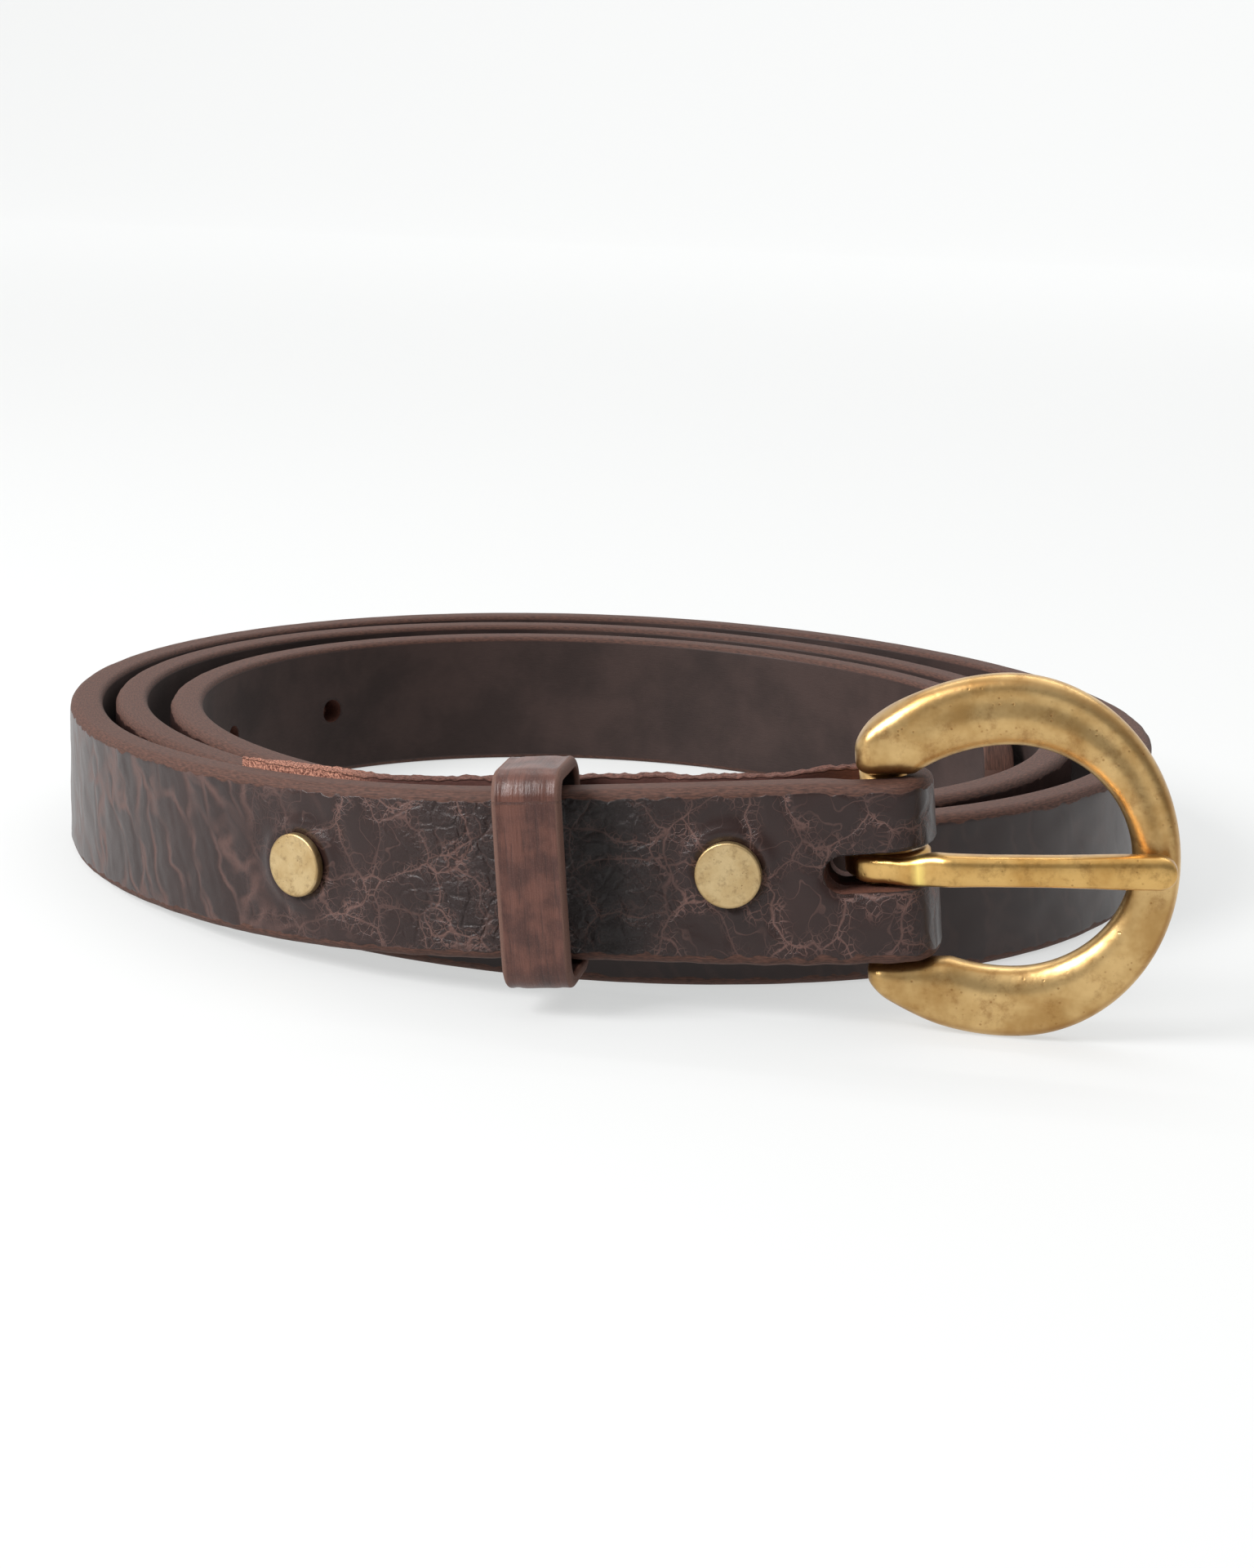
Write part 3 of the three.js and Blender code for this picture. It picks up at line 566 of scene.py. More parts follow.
# %% The fold and the turned-back end
TURN_BACK_LENGTH = SECOND_RIVET + 14.6
SKIVE_LENGTH, TURN_BACK_END_THICKNESS, LAYER_PINCH = 9, 0.5, 0.4
KEEPER_GAP = KEEPER_THICKNESS + 2 * CLEARANCE
FOLD_SQUARENESS, FOLD_RINGS, BACK_RING_STEP = 0.7, 34, 0.6
BACK_FRONT_ROUND, BACK_BACK_ROUND, RAGGED, RAGGED_TRIM = 0.35, 0.3, 0.30, 0.12
PROUD, PROUD_END = 0.35, 0.55


def layer_gap(s):
    """The air between the two layers of leather, at distance s."""
    at_bar = 2 * (BAR_RADIUS + CLEARANCE)
    rivet_edge = RIVET_CAP_RADIUS + 1
    opened = 1 - smooth(FOLD_EDGE, FIRST_RIVET - rivet_edge, s)
    keeper_in = smooth(FIRST_RIVET + rivet_edge, KEEPER_PLACE - KEEPER_TRAVEL - KEEPER_WIDTH / 2, s)
    keeper_out = smooth(KEEPER_PLACE + KEEPER_WIDTH, SECOND_RIVET - rivet_edge, s)
    at_keeper = keeper_in * (1 - keeper_out)
    return LAYER_PINCH + (at_bar - LAYER_PINCH) * opened + (KEEPER_GAP - LAYER_PINCH) * at_keeper


def fold_rings():
    rings, distance = [], []
    travelled = 0.0
    before = None
    seat = BAR_RADIUS + CLEARANCE
    for a in np.radians(np.linspace(88, -90, FOLD_RINGS)):
        cosine, sine = math.cos(a), math.sin(a)
        power = FOLD_SQUARENESS if sine > 0 else 1
        depth_here = FACE_FORWARD if sine > 0 else seat + TURN_BACK_THICKNESS
        outer = np.array([FOLD_EDGE * max(cosine, 0) ** power,
                          math.copysign(depth_here * abs(sine) ** power, sine)])
        inner = np.array([seat * cosine, seat * sine])
        inward = inner - outer
        thickness = np.linalg.norm(inward)
        depth, height, *_ = leather_section(STRAP_WIDTH / 2, thickness, FRONT_ROUND, BACK_ROUND,
                                            FACE_POINTS, BACK_POINTS)
        if before is not None:
            travelled += np.linalg.norm(outer - before)
        before = outer
        uv = outer + (inward / thickness) * depth[:, None]
        rings.append(from_bar(uv[:, 0], uv[:, 1], height - flare(FOLD_EDGE - outer[0], height)))
        distance.append(np.full(len(depth), FOLD_EDGE - travelled))
    return np.array(rings), np.array(distance)


def turn_back_rings(start):
    s = np.arange(FOLD_EDGE + 0.5, TURN_BACK_LENGTH, BACK_RING_STEP)
    rings, distance = [], []
    middle, along, out, up = strap_frame(s)
    for i, here in enumerate(s):
        skive = smooth(TURN_BACK_LENGTH - SKIVE_LENGTH, TURN_BACK_LENGTH, here)
        thickness = TURN_BACK_THICKNESS + (TURN_BACK_END_THICKNESS - TURN_BACK_THICKNESS) * skive
        near = STRAP_THICKNESS / 2 + layer_gap(here)
        depth, height, _, rim, _ = leather_section(STRAP_WIDTH / 2, thickness, BACK_FRONT_ROUND,
                                                   BACK_BACK_ROUND, FACE_POINTS, BACK_POINTS)
        ragged = RAGGED * rough(here / 0.9, np.sign(height) * 2 + depth / 0.6, 2.2) * (rim > 0)
        forward = -(near + thickness) + depth
        proud = PROUD + PROUD_END * smooth(60, 74, here)
        wide = (height + np.sign(height) * (ragged - RAGGED_TRIM) * (rim > 0)
                + proud * smooth(2, 8, height) - flare(here, height))
        rings.append(middle[i] + SHIFT + out[i] * forward[:, None] + up[i] * wide[:, None])
        distance.append(np.full(len(depth), start - (here - FOLD_EDGE)))
    return np.array(rings), np.array(distance)


rings_fold, along_fold = fold_rings()
rings_back, along_back = turn_back_rings(along_fold[-1, 0])
rings = np.concatenate([rings_main, rings_fold, rings_back])
along_all = np.concatenate([along_main, along_fold, along_back])
layer = np.concatenate([np.zeros(len(rings_main)), np.linspace(0, 0.6, len(rings_fold)) ** 2,
                        np.linspace(0.7, 1.0, len(rings_back))])[:, None]
belt_strap = skin("belt_strap", rings, {
    "along": along_all, "girth": section[2][None, :], "rim": section[3][None, :],
    "inside": section[4][None, :], "tall": section[1][None, :], "layer": layer})
print("strap:", len(belt_strap.data.vertices), "points")

# %% [markdown]
# ## Punching the holes
# The tongue comes through a slot in the fold, and a worn belt's tongue goes into one of five
# round holes near the tip. Real holes are punched, so here they are cut with a boolean too. Solid
# punches are taken away from the strap, and the walls they leave take the punch's own material,
# which is raw leather.

# %% Punches
raw_cut = bpy.data.materials.new("raw_cut_leather")
n = Nodes(raw_cut)
spot = n.add("ShaderNodeTexCoord").outputs["Object"]
fibre = n.noise(spot, 2600.0, 3.0, 0.6)
tint = n.mix(fibre, colour(52, 26, 20), colour(104, 60, 44))
lumps = n.add("ShaderNodeBump", {"Strength": 0.6, "Distance": 0.0002, "Height": fibre})
shade = n.add("ShaderNodeBsdfPrincipled", {"Base Color": tint, "Roughness": 0.8, "Normal": lumps})
n.add("ShaderNodeOutputMaterial", {"Surface": shade})

BILLET_HOLES, BILLET_HOLE_RADIUS, BILLET_HOLE_PITCH, LAST_HOLE_FROM_TIP = 5, 1.7, 25.4, 128
PUNCH_ROOM, SLOT_MOUTH = 3, 2


def punch(name, outline, centre, across, high, through, depth):
    """A prism with the outline's shape, pushed through the leather."""
    outline = np.asarray(outline, float)
    ends = [centre + through * side * depth / 2 + outline[:, :1] * across + outline[:, 1:] * high
            for side in (-1, 1)]
    made = skin(name, np.array(ends), {})
    made.data.materials.append(raw_cut)
    made.data.shade_flat()
    return made


angles = np.radians(np.arange(0, 360, 10))
round_outline = np.stack([np.cos(angles), np.sin(angles)], 1) * BILLET_HOLE_RADIUS
punches = []
for i in range(BILLET_HOLES):
    s = STRAP_LENGTH - LAST_HOLE_FROM_TIP - i * BILLET_HOLE_PITCH
    middle, along, out, up = (v[0] for v in strap_frame(s))
    punches.append(punch(f"punch_{i}", round_outline, middle + SHIFT, along, up, out,
                         STRAP_THICKNESS + PUNCH_ROOM))
half_turn = np.radians(np.linspace(90, 270, 16))
slot_outline = np.concatenate([
    [[FOLD_EDGE + SLOT_MOUTH, -SLOT_HALF - 0.2], [FOLD_EDGE + SLOT_MOUTH, SLOT_HALF + 0.1]],
    np.stack([SLOT_HALF - SLOT_REACH + SLOT_HALF * np.cos(half_turn),
              SLOT_HALF * np.sin(half_turn) - SLOT_DROP], 1)])
punches.append(punch("punch_slot", slot_outline, BAR, U, W, V, 2 * (FACE_FORWARD + SLOT_MOUTH)))


def cut(piece, tools):
    for tool in tools:
        cutter = piece.modifiers.new(tool.name, "BOOLEAN")
        cutter.operation = "DIFFERENCE"
        cutter.solver = "EXACT"
        cutter.material_mode = "TRANSFER"
        cutter.object = tool
    graph = bpy.context.evaluated_depsgraph_get()
    mesh = bpy.data.meshes.new_from_object(piece.evaluated_get(graph))
    piece.modifiers.clear()
    piece.data = mesh
    for tool in tools:
        bpy.data.objects.remove(tool)


leather = bpy.data.materials.new("belt_leather")
belt_strap.data.materials.append(leather)
cut(belt_strap, punches)
print("strap after punching:", len(belt_strap.data.polygons), "faces,",
      [m.name for m in belt_strap.data.materials])

# %% [markdown]
# ## Leather with a veined grain
# Close to, the face is a pattern of soft dark plates, and between them run bundles of pale hair
# lines, like the veins of a leaf. A painted picture could hold them, but it would have to be very
# large. A Voronoi texture measures the distance to the border between cells, which says where a
# bundle runs, and the place it is looked up is pushed about by noise, so that no line is straight.
# The measurements that the mesh carries lay the texture along the leather and round its section.

# %% Leather: where a point is, and helpers for lines
n = Nodes(leather)
along_a, girth_a = n.measure("along"), n.measure("girth")
rim_a, inside_a, layer_a = n.measure("rim"), n.measure("inside"), n.measure("layer")
flat_place = n.add("ShaderNodeCombineXYZ", {0: along_a, 1: girth_a}).outputs[0]


def pushed(place, scale, by):
    """The same place, pushed about sideways by up to half of by."""
    made = n.add("ShaderNodeTexNoise", {"Vector": place, "Scale": scale, "Detail": 1.3})
    centred = n.add("ShaderNodeVectorMath", {0: made.outputs[1], 1: (0.5, 0.5, 0.5)},
                    operation="SUBTRACT")
    moved = n.add("ShaderNodeVectorMath", {0: centred.outputs[0], "Scale": by}, operation="SCALE")
    added = n.add("ShaderNodeVectorMath", {0: place, 1: moved.outputs[0]}, operation="ADD")
    return added.outputs[0]


def borders(place, scale):
    """The distance to the nearest border between cells."""
    made = n.add("ShaderNodeTexVoronoi", {"Vector": place, "Scale": scale},
                 feature="DISTANCE_TO_EDGE")
    return made.outputs["Distance"]


def hairs(place, scale, width):
    """Thin wandering lines: where a soft noise passes through its middle value."""
    away = n.math("ABSOLUTE", n.math("SUBTRACT", n.noise(place, scale, 1.6, 0.45), 0.5))
    return n.ramp(away, width, width * 0.2)


# %% [markdown]
# The grain isn't the same all along. Near the buckle it has webs of veins. Past the second rivet
# the strap was bent, and the grain was drawn out into creases that lean: they are the borders of
# cells that were turned and stretched first. Further along it calms down. The hair lines are
# thin places where a soft noise passes through its middle value, with small cracks among them.

# %% Leather: veins, hair lines and creases
LEAN = math.radians(-63)
wandering = pushed(pushed(flat_place, 0.20, 4.0), 0.9, 0.5)
leaning = n.stretch(n.stretch(wandering, (1, 1, 1), LEAN), (0.26, 1.0, 1.0))
stretched = n.ramp(along_a, 62.0, 88.0)
calm = n.ramp(along_a, 150.0, 110.0)
plates = borders(wandering, 0.165)
creases = borders(leaning, 0.24)
small = borders(wandering, 0.50)
fade = n.ramp(n.noise(flat_place, 0.16, 2.0), 0.36, 0.62)
wrinkles = n.noise(pushed(flat_place, 2.0, 0.6), 4.0, 4.0, 0.62)

bundle = n.math("MULTIPLY", n.ramp(plates, 0.22, 0.02), n.blend(fade, 0.25, 0.9))
cracks = n.ramp(borders(pushed(flat_place, 0.9, 0.5), 0.85), 0.05, 0.005)
web = n.math("MAXIMUM", hairs(flat_place, 0.50, 0.015), cracks)
stray = n.math("MULTIPLY", hairs(n.stretch(flat_place, (1, 1, 1), 1.1), 0.22, 0.010),
               n.blend(fade, 0.35, 0.05))
core = n.math("MULTIPLY", n.ramp(plates, 0.030, 0.0), n.blend(fade, 0.35, 0.9))
line = n.math("MAXIMUM", n.math("MAXIMUM", core, stray), n.math("MULTIPLY", bundle, web))
soft_line = n.math("MULTIPLY", n.ramp(creases, 0.13, 0.0), n.blend(fade, 0.15, 0.75))
line = n.math("MULTIPLY", n.blend(stretched, line, soft_line), n.blend(calm, 0.2, 1.0))
dust = n.math("MULTIPLY", bundle, n.math("MULTIPLY", n.ramp(wrinkles, 0.40, 0.66), 0.16))
paled = n.math("MAXIMUM", n.math("MULTIPLY", line, n.ramp(wrinkles, 0.22, 0.46)),
               n.math("MULTIPLY", dust, n.blend(stretched, 1.0, 0.0)))

# %% [markdown]
# Now the colours. Handling has dulled the plates to a brown that is nearly black, and paled the
# veins to a dusty red. Beside the keeper the plates and veins are darkened by its shadow, which is
# painted into the colour.
# The rounded edge is burnished along a wandering line, the flesh side is brown and fibrous, and
# the turned-back end shows raw, paler fibres, palest at its very end. Each of these is a colour of
# its own, and the measures on the mesh say how much of each one a place gets.

# %% Leather: the colours of the grain side
blotch = n.noise(flat_place, 0.09, 3.0)
plate_tint = n.mix(blotch, colour(29, 18, 17), colour(47, 30, 27))
# Painted shade: the keeper's shadow on the strap just beside it darkens the plates and the veins.
keeper_shadow = n.math("MULTIPLY", n.ramp(along_a, 25.0, 36.0), n.ramp(along_a, 48.0, 42.0))
plate_tint = n.mix(n.math("MULTIPLY", keeper_shadow, 0.75), plate_tint, colour(13, 8, 8))
vein_tint = n.mix(n.math("MULTIPLY", keeper_shadow, 0.6), colour(115, 84, 76), colour(50, 34, 31))
grain_tint = n.mix(n.math("MULTIPLY", paled, n.blend(stretched, 0.72, 0.55)), plate_tint, vein_tint)

# %% Leather: the colours of the edge, the flesh side and the raw end
edge_wave = n.math("MULTIPLY", n.math("SUBTRACT", n.noise(flat_place, 0.45, 2.0), 0.5), 1.5)
edge_at = n.math("ADD", rim_a, edge_wave)
on_edge = n.math("MULTIPLY", n.ramp(edge_at, 0.05, 0.22), n.ramp(inside_a, 0.25, -0.15))
edge_fibre = n.noise(n.stretch(flat_place, (0.5, 2.6, 1.0)), 2.2, 4.0, 0.6)
edge_tint = n.mix(n.ramp(edge_fibre, 0.3, 0.7), colour(53, 33, 26), colour(88, 57, 46))

flesh_place = n.add("ShaderNodeCombineXYZ", {0: along_a, 1: n.measure("tall")}).outputs[0]
flesh_fibre = n.noise(n.stretch(flesh_place, (0.35, 1.6, 1.0)), 2.4, 3.0, 0.6)
flesh_blotch = n.ramp(n.noise(flesh_place, 0.07, 4.0, 0.6), 0.35, 0.65)
flesh_tint = n.mix(n.blend(0.7, flesh_fibre, flesh_blotch), colour(36, 23, 20), colour(58, 42, 38))
on_flesh = n.ramp(inside_a, -0.1, 0.3)

raw_fibre = n.noise(n.stretch(flat_place, (1.0, 2.2, 1.0)), 1.9, 5.0, 0.72)
raw_tint = n.mix(n.ramp(raw_fibre, 0.36, 0.62), colour(48, 26, 20), colour(134, 90, 78))
raw_flesh_tint = n.mix(raw_fibre, colour(48, 26, 22), colour(98, 60, 52))
turned = n.ramp(layer_a, 0.3, 0.68)
far_end = n.ramp(along_a, -70.0, -78.0)
fluff = n.noise(flat_place, 3.2, 5.0, 0.75)
pale_fibre = n.mix(n.ramp(fluff, 0.42, 0.60), colour(88, 48, 38), colour(210, 150, 126))
raw_tint = n.mix(n.math("MULTIPLY", far_end, n.ramp(raw_fibre, 0.24, 0.52)), raw_tint, pale_fibre)
raw_flesh_tint = n.mix(n.math("MULTIPLY", far_end, 0.8), raw_flesh_tint, pale_fibre)

tint = n.mix(on_edge, grain_tint, n.mix(turned, edge_tint, raw_tint))
tint = n.mix(on_flesh, tint, n.mix(turned, flesh_tint, raw_flesh_tint))

# %% [markdown]
# Last come height and gloss. The plates swell, the veins sink and ruffle, and small plates crumple
# where the keeper has rubbed. Moving the mesh for such fine shapes would take millions of points,
# so they go into a bump, which only bends the light. The plates are glossier than the veins.

# %% Leather: height and gloss
on_grain = n.math("SUBTRACT", 1.0, n.math("MAXIMUM", on_edge, on_flesh), clamp=True)
swell = n.blend(stretched, n.ramp(plates, 0.0, 0.24),
                n.math("MULTIPLY", n.ramp(creases, 0.0, 0.4), 0.4))
crumple = n.math("MULTIPLY", n.ramp(along_a, 64.0, 52.0), n.ramp(along_a, 24.0, 33.0))
height = n.math("MULTIPLY", swell, n.blend(calm, 0.02, 0.11))
height = n.math("MULTIPLY_ADD", n.ramp(small, 0.0, 0.20), n.math("MULTIPLY", crumple, 0.11), height)
ruffle = n.math("MULTIPLY", n.math("MAXIMUM", bundle, crumple), n.blend(stretched, 0.12, 0.0))
height = n.math("MULTIPLY_ADD", n.math("SUBTRACT", wrinkles, 0.5), ruffle, height)
height = n.math("MULTIPLY_ADD", line, -0.03, height)
pores = n.noise(flat_place, 9.0, 3.0, 0.6)
height = n.math("MULTIPLY_ADD", pores, 0.012, height)
height = n.math("MULTIPLY", height, on_grain)
edge_height = n.math("MULTIPLY", n.blend(turned, edge_fibre, raw_fibre),
                     n.blend(turned, 0.035, 0.28))
height = n.math("MULTIPLY_ADD", on_edge, edge_height, height)
height = n.math("MULTIPLY_ADD", n.math("MULTIPLY", on_flesh, flesh_fibre), 0.03, height)
bump = n.add("ShaderNodeBump", {"Strength": 1.0, "Distance": MM, "Height": height})

PLATE_ROUGH, PORE_ROUGH, VEIN_ROUGH, EDGE_ROUGH, RAW_ROUGH = 0.24, 0.37, 0.48, 0.72, 0.8
grain_rough = n.blend(paled, n.blend(pores, PLATE_ROUGH, PORE_ROUGH), VEIN_ROUGH)
rest_rough = n.blend(turned, EDGE_ROUGH, RAW_ROUGH)
roughness = n.blend(on_grain, rest_rough, grain_rough)
shade = n.add("ShaderNodeBsdfPrincipled", {
    "Base Color": tint, "Roughness": roughness, "Normal": bump, "Specular IOR Level": 0.35})
n.add("ShaderNodeOutputMaterial", {"Surface": shade})
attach(belt_strap, "belt")
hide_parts("strap")
print("leather finished")

# %% [markdown]
# ## Cast brass
# The buckle is cast brass, tumbled to a satin gloss and darkened by handling. Brass is a metal all
# the way through, so the whole colour is in its reflection. What makes it look cast is the slow
# change in colour and gloss, with browner patches and small pits. The colour is also browner in a
# line near the outer rim and on the back, so the mesh carries a measurement for that, and the tongue
# carries another one for the spot that fingers have polished. One function makes all three brasses.

# %% Brass material
def brass_material(name, light, dark, brown, low_rough, high_rough, pit=0.5, size=1.0):
    made = bpy.data.materials.new(name)
    n = Nodes(made)
    spot = n.add("ShaderNodeTexCoord").outputs["Object"]
    cloud = n.noise(spot, 150.0 / size, 4.0, 0.6)
    tint = n.mix(n.ramp(cloud, 0.35, 0.68), light, dark)
    stain = n.noise(spot, 420.0 / size, 5.0, 0.7)
    worn = n.math("MULTIPLY", n.ramp(stain, 0.48, 0.74), 0.55)
    near_rim = n.math("MULTIPLY", n.measure("rim"), n.blend(cloud, 0.25, 0.9))
    tint = n.mix(n.math("MAXIMUM", worn, near_rim), tint, brown)
    specks = n.add("ShaderNodeTexVoronoi", {"Vector": spot, "Scale": 1500.0 / size})
    pits = n.math("MULTIPLY", n.ramp(specks.outputs["Distance"], 0.28, 0.12),
                  n.ramp(n.noise(spot, 500.0, 2.0), 0.52, 0.66))
    tint = n.mix(n.math("MULTIPLY", pits, pit), tint, brown)
    fine = n.noise(spot, 3000.0, 3.0, 0.6)
    polished = n.math("MULTIPLY", n.measure("polish"), n.ramp(stain, 0.30, 0.50))
    tint = n.mix(polished, tint, colour(250, 222, 130))
    roughness = n.math("ADD", n.blend(cloud, low_rough, high_rough), n.math("MULTIPLY", fine, 0.08))
    height = n.math("MULTIPLY_ADD", n.math("SUBTRACT", 1.0, pits), 0.03,
                    n.math("MULTIPLY", cloud, 0.22))
    height = n.math("MULTIPLY_ADD", fine, 0.006, height)
    bump = n.add("ShaderNodeBump", {"Strength": 0.6, "Distance": MM, "Height": height})
    shade = n.add("ShaderNodeBsdfPrincipled", {"Base Color": tint, "Metallic": 1.0,
                                               "Roughness": roughness, "Normal": bump})
    n.add("ShaderNodeOutputMaterial", {"Surface": shade})
    return made


buckle_brass = brass_material("buckle_brass", colour(214, 180, 124), colour(178, 140, 86),
                              colour(136, 92, 48), 0.24, 0.40)
rivet_brass = brass_material("rivet_brass", colour(206, 182, 138), colour(188, 160, 114),
                             colour(112, 84, 52), 0.40, 0.48, pit=0.7, size=0.5)

# %% [markdown]
# ## The buckle frame
# The frame is a horseshoe: two heels carry the bar, and the arms broaden and meet in a bow. Its
# section is broad and soft. The front is slightly dished between a rolled outer rim and a rounded
# inner edge, and that dish is what makes the broad highlights bend. So it is lofted, section by
# section, instead of being a bent tube, which would have the same section everywhere.
# The upper heel sits on the pressed top edge of the strap. The lower one starts further out, so
# that the lower edge, which spreads near the fold, stays clear of it.

# %% Buckle frame
FRAME_ROOM, FRAME_ARM, HEEL_CLEARANCE = 2.8, 7.7, 0.6
FRAME_REACH, FRAME_OPENING_REACH, FRAME_HEEL = 31.4, 26.3, 2.6
FRAME_SHOULDER, FRAME_THROAT, FRAME_DEPTH, FRAME_FORWARD = 22.5, 15.6, 4.8, 3.0
HEEL_EXTRA_DEPTH, HEEL_BLUNTNESS, HEEL_ROUNDING = 2.2, 0.45, 2.0
OPENING_HALF = STRAP_WIDTH / 2 + FRAME_ROOM
OUTER_HALF = OPENING_HALF + FRAME_ARM
ARM_POINTS, LEG_SECTIONS, BOW_SECTIONS = 64, 36, 90
DISH, DISH_PLACE, DISH_WIDTH, RIM_PLACE, RIM_WIDTH = 0.20, 0.28, 0.40, 0.83, 0.09
HEEL_SEAT, LOWER_HEEL_SEAT = -0.02, 0.3


def rounded_end(bluntness, t):
    """How much of the section is left: bluntness at the very end, t = 0, and all of it from t = 1."""
    return bluntness + (1 - bluntness) * math.sqrt(max(0, 1 - (1 - min(1, t)) ** 2))


def arm_section(near, far, forward, depth, scale, dish):
    """One section across an arm: t runs from the opening, -1, to the outer edge, +1."""
    a = np.linspace(0, 2 * math.pi, ARM_POINTS, endpoint=False)
    full = 0.62 + 0.30 * dish / DISH
    t = np.sign(np.cos(a)) * np.abs(np.cos(a)) ** full
    v = np.sin(a)
    front = v > 0
    body = np.sign(v) * np.abs(v) ** 0.78
    hollow = dish * np.exp(-((t - DISH_PLACE) / DISH_WIDTH) ** 2) * front
    lower = 0.5 * dish * smooth(0.3, -1.0, t) * front
    body = body * (1 - hollow - lower)
    middle = (near + far) / 2
    half = (far - near) / 2 * scale
    u = middle[0] + half[0] * t
    w = middle[1] + half[1] * t
    rim_line = np.exp(-((t - RIM_PLACE) / RIM_WIDTH) ** 2)
    rim = np.clip(rim_line * 0.75 + smooth(0.2, -0.9, v) * 0.5, 0, 1)
    return from_bar(u, forward + scale * depth / 2 * body, w), rim


def ellipse(half, reach, back):
    """Half the height of an ellipse, at a distance back from its middle."""
    return half * math.sqrt(max(0, 1 - (back / reach) ** 2))


def leg_sections(side):
    """The sections from a heel to the widest part of the horseshoe, closer together at the heel."""
    seat = HEEL_SEAT if side > 0 else FLARE + LOWER_HEEL_SEAT
    made = []
    for t in np.linspace(0, 1, LEG_SECTIONS, endpoint=False) ** 1.6:
        u = -FRAME_HEEL + (FRAME_CENTRE + FRAME_HEEL) * t
        back = FRAME_CENTRE - u
        near = max(STRAP_WIDTH / 2 + seat, ellipse(OPENING_HALF, FRAME_THROAT, back))
        far = ellipse(OUTER_HALF, FRAME_SHOULDER, back)
        heel = 1 - float(smooth(0, FRAME_HEEL * 2, u))
        scale = rounded_end(HEEL_BLUNTNESS, (u + FRAME_HEEL) / HEEL_ROUNDING)
        made.append(arm_section(np.array([u, side * near]), np.array([u, side * far]),
                                FRAME_FORWARD - heel * HEEL_EXTRA_DEPTH / 2,
                                FRAME_DEPTH + heel * HEEL_EXTRA_DEPTH, scale,
                                DISH * float(smooth(1, 12, u))))
    return made


def bow_sections():
    """The sections round the bow, from the upper arm to the lower one."""
    made = []
    for a in np.radians(np.linspace(90, -90, BOW_SECTIONS)):
        inner, outer = (np.array([FRAME_CENTRE + (reach - FRAME_CENTRE) * math.cos(a),
                                  half * math.sin(a)])
                        for reach, half in ((FRAME_OPENING_REACH, OPENING_HALF),
                                            (FRAME_REACH, OUTER_HALF)))
        made.append(arm_section(inner, outer, FRAME_FORWARD, FRAME_DEPTH, 1, DISH))
    return made


sections = leg_sections(1) + bow_sections() + leg_sections(-1)[::-1]
rings, rims = (np.array(part) for part in zip(*sections))
buckle = skin("buckle_horseshoe", rings, {"rim": rims})
buckle.data.materials.append(buckle_brass)
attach(buckle, "frame")
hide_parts("buckle_frame")
print("buckle frame:", rings.shape[0], "sections")

# %% [markdown]
# The bar is a plain round rod between the heels. Almost all of it is inside the fold, but it shows
# in the slot behind the tongue, and from the back. It is turned on a lathe: a profile goes round an
# axis. The same helper makes the rivets.

# %% A lathe, and the bar
ROUND_STEPS = 48


def turned_piece(name, profile, origin, axis, side, steps=ROUND_STEPS, rims=None):
    """Turns a profile, pairs of radius and height in millimetres, about an axis."""
    axis, side = np.asarray(axis), np.asarray(side)
    other = np.cross(axis, side)
    a = np.linspace(0, 2 * math.pi, steps, endpoint=False)
    ring = np.outer(np.cos(a), side) + np.outer(np.sin(a), other)
    rings = np.array([origin + axis * h + ring * max(r, 0.01) for r, h in profile])
    rims = np.zeros(len(profile)) if rims is None else np.asarray(rims)
    return skin(name, rings, {"rim": rims[:, None]})


BAR_INTO_HEEL = 2.4
BAR_HALF = STRAP_WIDTH / 2 + HEEL_CLEARANCE + BAR_INTO_HEEL
bar = turned_piece("buckle_bar", [(BAR_RADIUS, -BAR_HALF), (BAR_RADIUS, BAR_HALF)], BAR, W, U)
bar.data.materials.append(buckle_brass)
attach(bar, "frame")

# %% [markdown]
# ## The tongue
# The tongue is cast in one piece with an eye that wraps the bar. It rises out of the slot, narrow
# at its root so that it clears the slot's lips, and bends flat where years of hands have polished
# a bright spot. Then it lies across the frame with a blunt, slightly broader nose. A swept rounded
# rectangle that changes size along its length gives all of that with one row of sections.

# %% Tongue
TONGUE_THICKNESS, TONGUE_EYE_WALL, TONGUE_SHORTFALL = 3.0, 1.8, 0.4
TONGUE_BEND, TONGUE_DROOP, TONGUE_TAIL, TONGUE_NOSE_LENGTH = 7.5, 1.3, -3.2, 1.9
ROOT_NARROWER, WAIST_NARROWER, NOSE_BROADER, ROOT_FORWARD = 0.24, 0.10, 0.10, 1.1
POLISHED_PLACE, POLISHED_WIDTH = 3.9, 0.55
eye_inner = BAR_RADIUS + CLEARANCE
eye_outer = eye_inner + TONGUE_EYE_WALL


def squared(x):
    """Turns a circle's sine or cosine into that of a square with rounded corners."""
    return np.sign(x) * np.abs(x) ** 0.62


